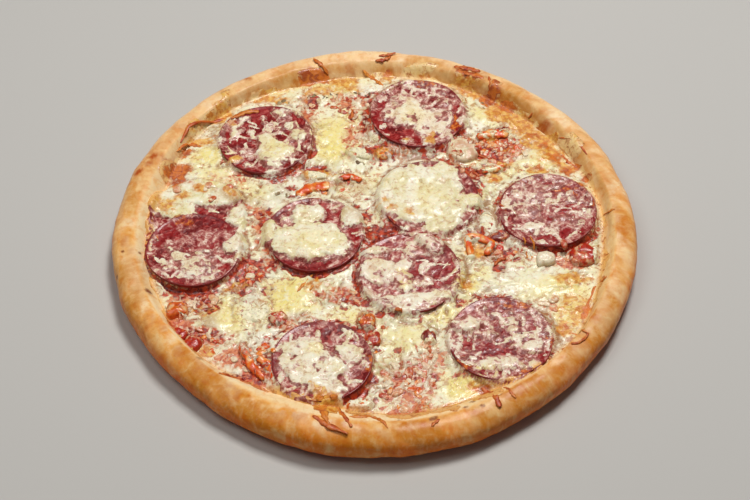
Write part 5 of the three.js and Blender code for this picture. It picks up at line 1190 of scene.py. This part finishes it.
def lump_mesh(x, y, z0, z1, a, b, turn, sq, kind, seed=0.0, n=64, m=22, bumps=0.35):
    """verts, faces, colours of one rounded, uneven lump."""
    ang = np.arange(n) / n * TAU
    prof = [(0.0, 0.72), (0.06, 0.86), (0.2, 0.97), (0.34, 1.0), (0.66, 0.98), (0.84, 0.88), (0.95, 0.66), (0.99, 0.4), (1.0, 0.15)]
    s = np.linspace(0, len(prof) - 1, m)
    hs = np.interp(s, range(len(prof)), [p[0] for p in prof])
    ks = np.interp(s, range(len(prof)), [p[1] for p in prof])
    wob = 1 + 0.05 * np.sin(3 * ang + x) + 0.04 * np.cos(2 * ang + y)
    u = a * wob * np.sign(np.cos(ang)) * np.abs(np.cos(ang)) ** sq
    v = b * wob * np.sign(np.sin(ang)) * np.abs(np.sin(ang)) ** sq
    U, V = ks[:, None] * u, ks[:, None] * v
    X = x + U * math.cos(turn) - V * math.sin(turn)
    Y = y + U * math.sin(turn) + V * math.cos(turn)
    Z = z0 + (z1 - z0) * hs[:, None] + 0 * X
    w = N1.fbm(X + seed + Z, Y - Z * 0.7, 2.8, 3) * bumps
    rr = np.hypot(X - x, Y - y) + 1e-6
    X, Y = X + w * (X - x) / rr * smooth(0, 2, rr), Y + w * (Y - y) / rr * smooth(0, 2, rr)
    Z = Z + N2.fbm(X * 1.3 + seed, Y * 1.3, 3.0, 3) * bumps * 0.9 * hs[:, None]
    col = lump_colour(kind, X, Y, Z, hs[:, None] + 0 * X, seed)
    verts = np.stack([X, Y, Z], -1).reshape(-1, 3)
    c = col.reshape(-1, 3)
    nb = len(verts)
    verts = np.concatenate([verts, [[x, y, z0]], [[x, y, Z[-1].mean()]]])
    c = np.concatenate([c, [c[0]], [c[-1]]])
    return verts, ring_faces(n, m, 0, nb, nb + 1), c


def tube_mesh(points, width, thick, kind, sides=10, steps=16, taper=0.5, z_of=None, lift=0.5, seed=0.0, bumps=0.25, flatten=1.0):
    """A strip along a smooth line through (x, y) points, lying on z_of(x, y)."""
    p = np.array(points, float)
    tt = np.linspace(0, 1, steps)
    if len(p) == 2:
        p = np.array([p[0], (p[0] + p[1]) / 2, p[1]])
    k = np.linspace(0, 1, len(p))
    # Catmull-Rom through the points
    ext = np.concatenate([[2 * p[0] - p[1]], p, [2 * p[-1] - p[-2]]])
    seg = np.minimum((tt * (len(p) - 1)).astype(int), len(p) - 2)
    f = tt * (len(p) - 1) - seg
    P0, P1, P2, P3 = ext[seg], ext[seg + 1], ext[seg + 2], ext[seg + 3]
    f = f[:, None]
    C = 0.5 * (2 * P1 + (P2 - P0) * f + (2 * P0 - 5 * P1 + 4 * P2 - P3) * f ** 2 + (3 * P1 - P0 - 3 * P2 + P3) * f ** 3)
    D = np.gradient(C, axis=0)
    D /= np.linalg.norm(D, axis=1)[:, None] + 1e-9
    end = (1 - taper) + taper * np.sqrt(np.sin(math.pi * np.clip(tt * 0.94 + 0.03, 0, 1)))
    a = (np.arange(sides) + 0.5) / sides * TAU
    zc = z_of(C[:, 0], C[:, 1]) + lift
    w = (width / 2 * end)[:, None] * (1 + bumps * N2(tt[:, None] * 30 + seed, a * 3, 3.0))
    h = (thick / 2 * end)[:, None] * (1 + bumps * N3(tt[:, None] * 30 + seed, a * 3 + 5, 3.0))
    S, Rz = w * np.cos(a), h * np.sin(a)
    X = C[:, :1] - D[:, 1:] * S
    Y = C[:, 1:] + D[:, :1] * S
    Z = zc[:, None] + Rz
    hh = 0.5 + 0.5 * np.sin(a)[None, :] + 0 * X
    col = lump_colour(kind, X, Y, Z, hh, seed) if kind in ("red", "orange", "dark", "mushroom", "mushroom_dark", "cheese", "pepper") else kind(X, Y, Z, hh)
    verts = np.stack([X, Y, Z], -1).reshape(-1, 3)
    c = col.reshape(-1, 3)
    i, j = np.meshgrid(np.arange(steps - 1), np.arange(sides), indexing="ij")
    q0 = i * sides + j
    q1 = i * sides + (j + 1) % sides
    quads = np.stack([q0, q1, q1 + sides, q0 + sides], -1).reshape(-1, 4)
    nb = len(verts)
    tip = 0.25 * width
    A = np.array([C[0, 0] - D[0, 0] * tip, C[0, 1] - D[0, 1] * tip, zc[0]])
    B = np.array([C[-1, 0] + D[-1, 0] * tip, C[-1, 1] + D[-1, 1] * tip, zc[-1]])
    verts = np.concatenate([verts, [A], [B]])
    c = np.concatenate([c, [c[0]], [c[-1]]])
    kk = np.arange(sides)
    last = (steps - 1) * sides
    fans = [np.stack([np.full(sides, nb), (kk + 1) % sides, kk], 1), np.stack([np.full(sides, nb + 1), last + kk, last + (kk + 1) % sides], 1)]
    return verts, [quads] + fans, c


def join(parts):
    V, F4, F3, C, off = [], [], [], [], 0
    for v, faces, c in parts:
        V.append(v), C.append(c)
        for f in faces:
            (F4 if f.shape[1] == 4 else F3).append(f + off)
        off += len(v)
    groups = [np.concatenate(g) for g in (F4, F3) if g]
    return np.concatenate(V), groups, np.concatenate(C)


def ground(x, y):
    return np.maximum(bed(x, y), np.where(np.hypot(x, y) > r_in(np.arctan2(y, x)), rim_top(x, y), -99))


def surface(x, y):
    """What a loose bit lies on: cheese, rim or slice."""
    x, y = np.asarray(x, float), np.asarray(y, float)
    z = ground(x, y)
    for i, s in enumerate(SLICES):
        on = np.hypot(x - s[0], y - s[1]) < s[2]
        if np.any(on):
            d, th = cover_field(i, x, y)
            z = np.where(on, np.maximum(z, slice_over(i, x, y) + np.maximum(0, sheet(d, th))), z)
    return z


# ------------------------------------------------------------------ build the pieces
mats = {
    "crust": crust_look(), "cheese": cheese_look(), "sausage": sausage_look(),
    "tomato": plain_look("tomato_look", 0.36, 0.25, 0.08, srgb(132, 18, 4), srgb(240, 132, 50), 1.5),
    "pepper": plain_look("pepper_look", 0.34, 0.25, 0.08, srgb(214, 56, 4), srgb(255, 164, 72), 1.5),
    "mushroom": plain_look("mushroom_look", 0.5, 0.1, 0.08, srgb(132, 106, 62), srgb(246, 236, 198), 1.6),
    "baked": plain_look("browned_bits", 0.46, 0.06, 0.0, srgb(112, 30, 6), srgb(226, 142, 66), 1.1),
    "meat": plain_look("chopped_meat_look", 0.42, 0.25, 0.08, srgb(150, 60, 40), srgb(246, 226, 196), 1.3),
    "pale": plain_look("loose_cheese_look", 0.42, 0.2, 0.15, srgb(190, 140, 86), srgb(248, 242, 222), 1.6),
}

dress(crust(), mats["crust"], "crust", "crust", "crust_base")
patches = [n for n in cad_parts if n.startswith("cheese_patch")]
dress(cheese(), mats["cheese"], "cheese", "cheese_layer", *patches)
for i in range(10):
    dress(sausage(i), mats["sausage"], "sausage", f"sausage_slice_{i + 1}")
for name, (x, y, a, b, up, down, turn, sq, kind) in LUMPS.items():
    g = float(max(bed(np.array(x), np.array(y)), rim_top(np.array(x), np.array(y))))
    v, f, c = lump_mesh(x, y, g - down, g + up, a, b, turn, sq, kind, seed=x)
    slot, mat = ("tomato", "tomato") if name.startswith("tomato") else ("mushroom", "mushroom") if name.startswith("mushroom") else ("cheese", "pale")
    dress(make(f"{name}_fine", v, f, c), mats[mat], slot, name)
for name, (pts, w, th, lift) in STRIPS.items():
    v, f, c = tube_mesh(pts, w, th * 0.8, "pepper", 16, 28 if len(pts) > 3 else 20, 0.35, lambda x, y: np.maximum(bed(x, y), rim_top(x, y) - 0.4), lift + 0.45, seed=w * 10, bumps=0.45)
    dress(make(f"{name}_fine", v, f, c), mats["pepper"], "pepper", name)

# baked threads and strands of cheese: points as seen, width, thickness, darkness
STRANDS = [
    ([(-117, 74), (-112, 86), (-102, 93), (-92, 92)], 3.6, 1.6, 0.8), ([(-119, 66), (-113, 70), (-106, 69)], 3.2, 1.4, 0.5), ([(-88, 92), (-80, 97), (-72, 98)], 3.0, 1.4, 0.4),
    ([(-31, -112), (-29, -119), (-26, -127)], 4.2, 1.5, 0.25), ([(-24, -113), (-22, -119), (-19, -126)], 3.4, 1.5, 0.35), ([(-21, -121), (-17, -127), (-13, -132)], 2.6, 1.3, 0.7),
    ([(-39, 143), (-35, 139), (-30, 131)], 2.4, 1.2, 0.6), ([(-8, 134), (-2, 127), (4, 121)], 2.8, 1.6, 0.3), ([(0, 142), (5, 142.5), (9, 145)], 2.6, 1.2, 0.8),
    ([(2, 146), (7, 146.5), (12, 148.5)], 2.0, 1.0, 0.8), 
    ([(69.5, 127), (70.2, 120), (70.5, 114)], 1.9, 1.2, 0.8), ([(49, 136), (56, 134.5), (64, 132)], 3.4, 1.2, 0.8), ([(53, 131), (58, 129), (66, 126)], 2.4, 1.2, 0.7),
    ([(110, 77), (117, 75), (122, 68.5), (125, 62)], 1.6, 1.0, 0.75), ([(111, 62), (114, 57), (119, 52)], 2.2, 1.2, 0.7), ([(91, 91.5), (93.5, 96), (95, 99)], 1.3, 0.9, 0.6),
    ([(129, -32), (124, -38), (121, -44), (117.5, -52), (114, -60)], 1.7, 1.0, 0.55), ([(98, -81), (107, -78.5), (113, -75), (115.5, -71)], 1.5, 1.0, 0.6),
    ([(103, -72), (109, -72.5), (115, -71)], 1.2, 0.9, 0.5), ([(57, -108), (61.5, -111.5), (65, -119)], 3.4, 1.6, 0.85), ([(68, -107.5), (70.5, -110), (73.5, -113.5)], 1.8, 1.0, 0.6),
    ([(-14, -127), (-8, -127.3), (-3, -126.5)], 2.4, 1.3, 0.45), ([(-3, -127), (2, -129), (6, -133)], 1.6, 1.0, 0.6), ([(-33, -126), (-25, -131.5), (-15, -136)], 2.8, 1.4, 0.75),
    ([(-30, -121), (-27, -127), (-24, -131)], 2.2, 1.4, 0.5), ([(-44, -42), (-40, -36), (-36, -30)], 1.7, 1.4, 0.1), ([(-37, -41), (-34.5, -36), (-33, -32)], 1.5, 1.3, 0.15),
    ([(29, -131.5), (31, -129.5), (33, -128)], 1.8, 0.9, 0.7), ([(132, 14.5), (134.5, 17), (137.5, 18.5)], 1.5, 0.7, 0.35), ([(-15, 100), (-14.5, 96), (-15.5, 92)], 1.9, 1.4, 0.6),
    ([(60, 63), (63, 61), (67, 59)], 2.0, 1.6, 0.8), ([(60, 53), (57, 49), (61, 45)], 2.6, 1.8, 0.9), ([(1, -57), (10, -58), (20, -60.5)], 2.2, 1.6, 0.7), ([(67, -23), (70, -19.5), (74, -18)], 2.2, 1.6, 0.85),
    ([(84, -3), (85.5, -11), (86, -18)], 1.3, 1.2, 0.15), ([(88, -2), (90, -9), (88, -19)], 1.3, 1.2, 0.3), ([(-84, -99), (-78, -100.5), (-70, -101)], 2.0, 1.2, 0.7), ([(115, -6), (118, -12), (120, -20)], 2.2, 1.4, 0.5),
]


def strand_colour(dark):
    def colour(X, Y, Z, h):
        n = N3.fbm(X + Z, Y - Z, 2.2, 3)
        c = mix(srgb(234, 150, 52), srgb(190, 66, 14), np.clip(dark + 0.25 * n, 0, 1))
        return mix(c, srgb(136, 36, 8), smooth(0.2, 0.9, n) * dark * 0.6)
    return colour


parts = []
for k, (pts, w, th, dark) in enumerate(STRANDS):
    true = [(px, at_height(py, float(surface(px, at_height(py, 14.5))) + th * 0.4)) for px, py in pts]
    parts.append(tube_mesh(true, w, th * 0.8, strand_colour(dark), 8, 18, 0.75, surface, 0.15 + th * 0.12, seed=k * 3.1, bumps=0.75))
v, f, c = join(parts)
dress(make("browned_strands", v, f, c), mats["baked"], "cheese")

# chopped bits: kind, middle, half widths of the patch they lie in, how many, size range
rng = np.random.RandomState(77)
BITS = [
    ("meat", 18, -106, 15, 19, 44, 1.4, 2.9), ("meat", 75, 66, 15, 11, 46, 1.3, 2.8), ("meat", -14, 106, 15, 8, 24, 1.3, 2.6), ("meat", -44, 106, 5, 7, 8, 1.4, 2.6),
    ("meat", -98, -48, 12, 5, 14, 1.4, 2.6), ("meat", -72, -28, 9, 8, 10, 1.3, 2.5), ("meat", -14, -46, 11, 6, 12, 1.3, 2.4), ("meat", 28, -86, 9, 7, 16, 1.3, 2.6),
    ("meat", 76, -14, 14, 6, 18, 1.2, 2.4), ("meat", 106, -15, 9, 6, 12, 1.3, 2.6), ("meat", -12, 80, 4, 16, 14, 1.3, 2.4), ("meat", -96, -74, 16, 7, 14, 1.3, 2.4),
    ("meat", -52, -66, 9, 6, 12, 1.3, 2.4), ("meat", 56, 50, 8, 7, 12, 1.3, 2.4), ("meat", -100, 30, 18, 9, 10, 1.2, 2.2), ("meat", -6, 3, 6, 6, 8, 1.2, 2.2),
    ("meat", 98, -50, 8, 5, 8, 1.2, 2.2), ("meat", -70, -92, 9, 8, 14, 1.3, 2.6), ("meat", 4, -70, 4, 10, 8, 1.2, 2.2), ("meat", -62, 6, 5, 13, 12, 1.2, 2.2),
    ("pepper", 75, 68, 14, 10, 18, 1.3, 2.4), ("pepper", 18, -112, 13, 12, 8, 1.4, 2.4), ("pepper", -72, -30, 9, 6, 8, 1.2, 2.2), ("pepper", -62, -88, 8, 10, 8, 1.3, 2.4),
    ("pepper", -92, -78, 8, 6, 6, 1.2, 2.0), ("pepper", 70, -12, 10, 8, 8, 1.2, 2.2), ("pepper", -30, 36, 14, 4, 6, 1.2, 2.0), ("pepper", -4, -84, 3, 12, 6, 1.3, 2.2), ("pepper", 8, 66, 7, 5, 5, 1.2, 2.0),
    ("dark", -30, 112, 10, 3, 7, 1.1, 2.2), ("dark", -57, 106, 5, 2.5, 5, 1.1, 2.0), ("dark", -8, 114, 8, 2.5, 5, 1.1, 2.0), ("dark", 60, 104, 7, 5, 8, 1.1, 2.2), ("dark", -56, 32, 6, 6, 5, 0.9, 1.6),
    ("dark", 62, 19, 6, 5, 6, 0.9, 1.7), ("dark", 14, -122, 8, 4, 6, 1.0, 1.9), ("dark", -6, 57, 6, 3, 4, 0.9, 1.6), ("dark", 3, -80, 2.5, 2, 2, 0.9, 1.4),
]
LOOK = {
    "meat": [(240, 204, 170), (226, 150, 106), (194, 70, 34), (246, 224, 190), (232, 170, 122), (208, 96, 44)], "pepper": [(232, 92, 4), (206, 40, 0), (240, 136, 26)],
    "dark": [(140, 112, 70), (166, 140, 96), (112, 84, 50)],
}
bits = {k: [] for k in LOOK}
for kind, bx, by, ba, bb, count, lo, hi in BITS:
    for _ in range(int(count * (1.5 if kind == "pepper" else 0.8))):
        rr, tt = math.sqrt(rng.uniform()), rng.uniform(0, TAU)
        px, py = bx + ba * rr * math.cos(tt), at_height(by + bb * rr * math.sin(tt), 13.0)
        s, asp, tn, hgt, sd = rng.uniform(lo, hi) * 1.15, rng.uniform(0.45, 0.95), rng.uniform(0, math.pi), rng.uniform(0.45, 0.8), rng.uniform(0, 99)
        shade = LOOK[kind][rng.randint(len(LOOK[kind]))]
        ang = math.atan2(py, px)
        if math.hypot(px, py) > float(r_in(np.array(ang))) - 1.5:
            continue
        on_slice = any(math.hypot(px - q[0], py - q[1]) < q[2] - 0.5 for q in SLICES[:9])
        if on_slice and kind != "dark":
            continue
        z = float(surface(px, py))
        v, f, c = lump_mesh(px, py, z - 0.5 * s * hgt, z + s * hgt * (0.6 if kind == "pepper" else 0.45), s, s * asp, tn, 0.75, "cheese", seed=sd, n=14, m=9, bumps=0.5 * s / 2)
        tone = srgb(*shade)
        nn = N3.fbm(v[:, 0] + sd, v[:, 1], 1.6, 2)
        c = mix(np.zeros((len(v), 3)) + tone, tone * 0.62, smooth(0.1, 0.8, nn) * 0.5)
        if kind in ("meat", "pepper"):
            c = mix(c, srgb(238, 222, 184), smooth(0.1, 0.5, -nn) * 0.55)
        bits[kind].append((v, f, c))
for kind, mat, slot in (("meat", "meat", "sausage"), ("pepper", "pepper", "pepper"), ("dark", "mushroom", "mushroom")):
    v, f, c = join(bits[kind])
    dress(make({"meat": "chopped_meat_bits", "pepper": "pepper_bits", "dark": "mushroom_bits"}[kind], v, f, c), mats[mat], slot)

# ------------------------------------------------------------------ floor, light, camera
bpy.ops.mesh.primitive_plane_add(size=6.0, location=(0, 0, -0.0002))
floor = bpy.context.object
floor.name = "floor"
fm = bpy.data.materials.new("floor_look")
fm.use_nodes = True
fm.node_tree.nodes["Principled BSDF"].inputs["Base Color"].default_value = (0.54, 0.525, 0.50, 1)
fm.node_tree.nodes["Principled BSDF"].inputs["Roughness"].default_value = 0.8
floor.data.materials.append(fm)
floor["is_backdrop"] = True

world = bpy.data.worlds.new("studio")
bpy.context.scene.world = world
world.use_nodes = True
world.node_tree.nodes["Background"].inputs["Color"].default_value = (1.0, 0.97, 0.92, 1)
world.node_tree.nodes["Background"].inputs["Strength"].default_value = 0.07


def area(name, loc, size, power, color=(1, 1, 1), target=(0, 0, 0.01)):
    d = bpy.data.lights.new(name, "AREA")
    d.shape, d.size, d.size_y, d.energy, d.color = "RECTANGLE", size[0], size[1], power, color
    o = bpy.data.objects.new(name, d)
    o.location = loc
    from mathutils import Vector
    o.rotation_euler = (Vector(target) - Vector(loc)).to_track_quat("-Z", "Y").to_euler()
    bpy.context.scene.collection.objects.link(o)


area("key", (0.25, 0.45, 1.35), (0.4, 0.4), 15.5, (1.0, 0.99, 0.97))
area("top", (-0.55, -0.05, 1.25), (0.7, 0.7), 4.4, (1.0, 0.99, 0.97))
area("fill", (-0.3, -1.1, 0.9), (1.2, 0.8), 0.25, (1.0, 0.97, 0.93))

cam_data = bpy.data.cameras.new("camera")
cam = bpy.data.objects.new("camera", cam_data)
e = math.radians(CAM_E)
cam.location = ((CAM_AT[0] + SHIFT[0]) / 1000, (CAM_AT[1] + SHIFT[1] - CAM_D * math.cos(e)) / 1000, CAM_D * math.sin(e) / 1000)
cam.rotation_euler = (math.radians(90 - CAM_E), 0, 0)
cam_data.lens, cam_data.sensor_width = 82.7, 36.0
cam_data.clip_start, cam_data.clip_end = 0.01, 20
bpy.context.scene.collection.objects.link(cam)
bpy.context.scene.camera = cam
bpy.context.scene.view_settings.view_transform = "Standard"

lo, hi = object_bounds()
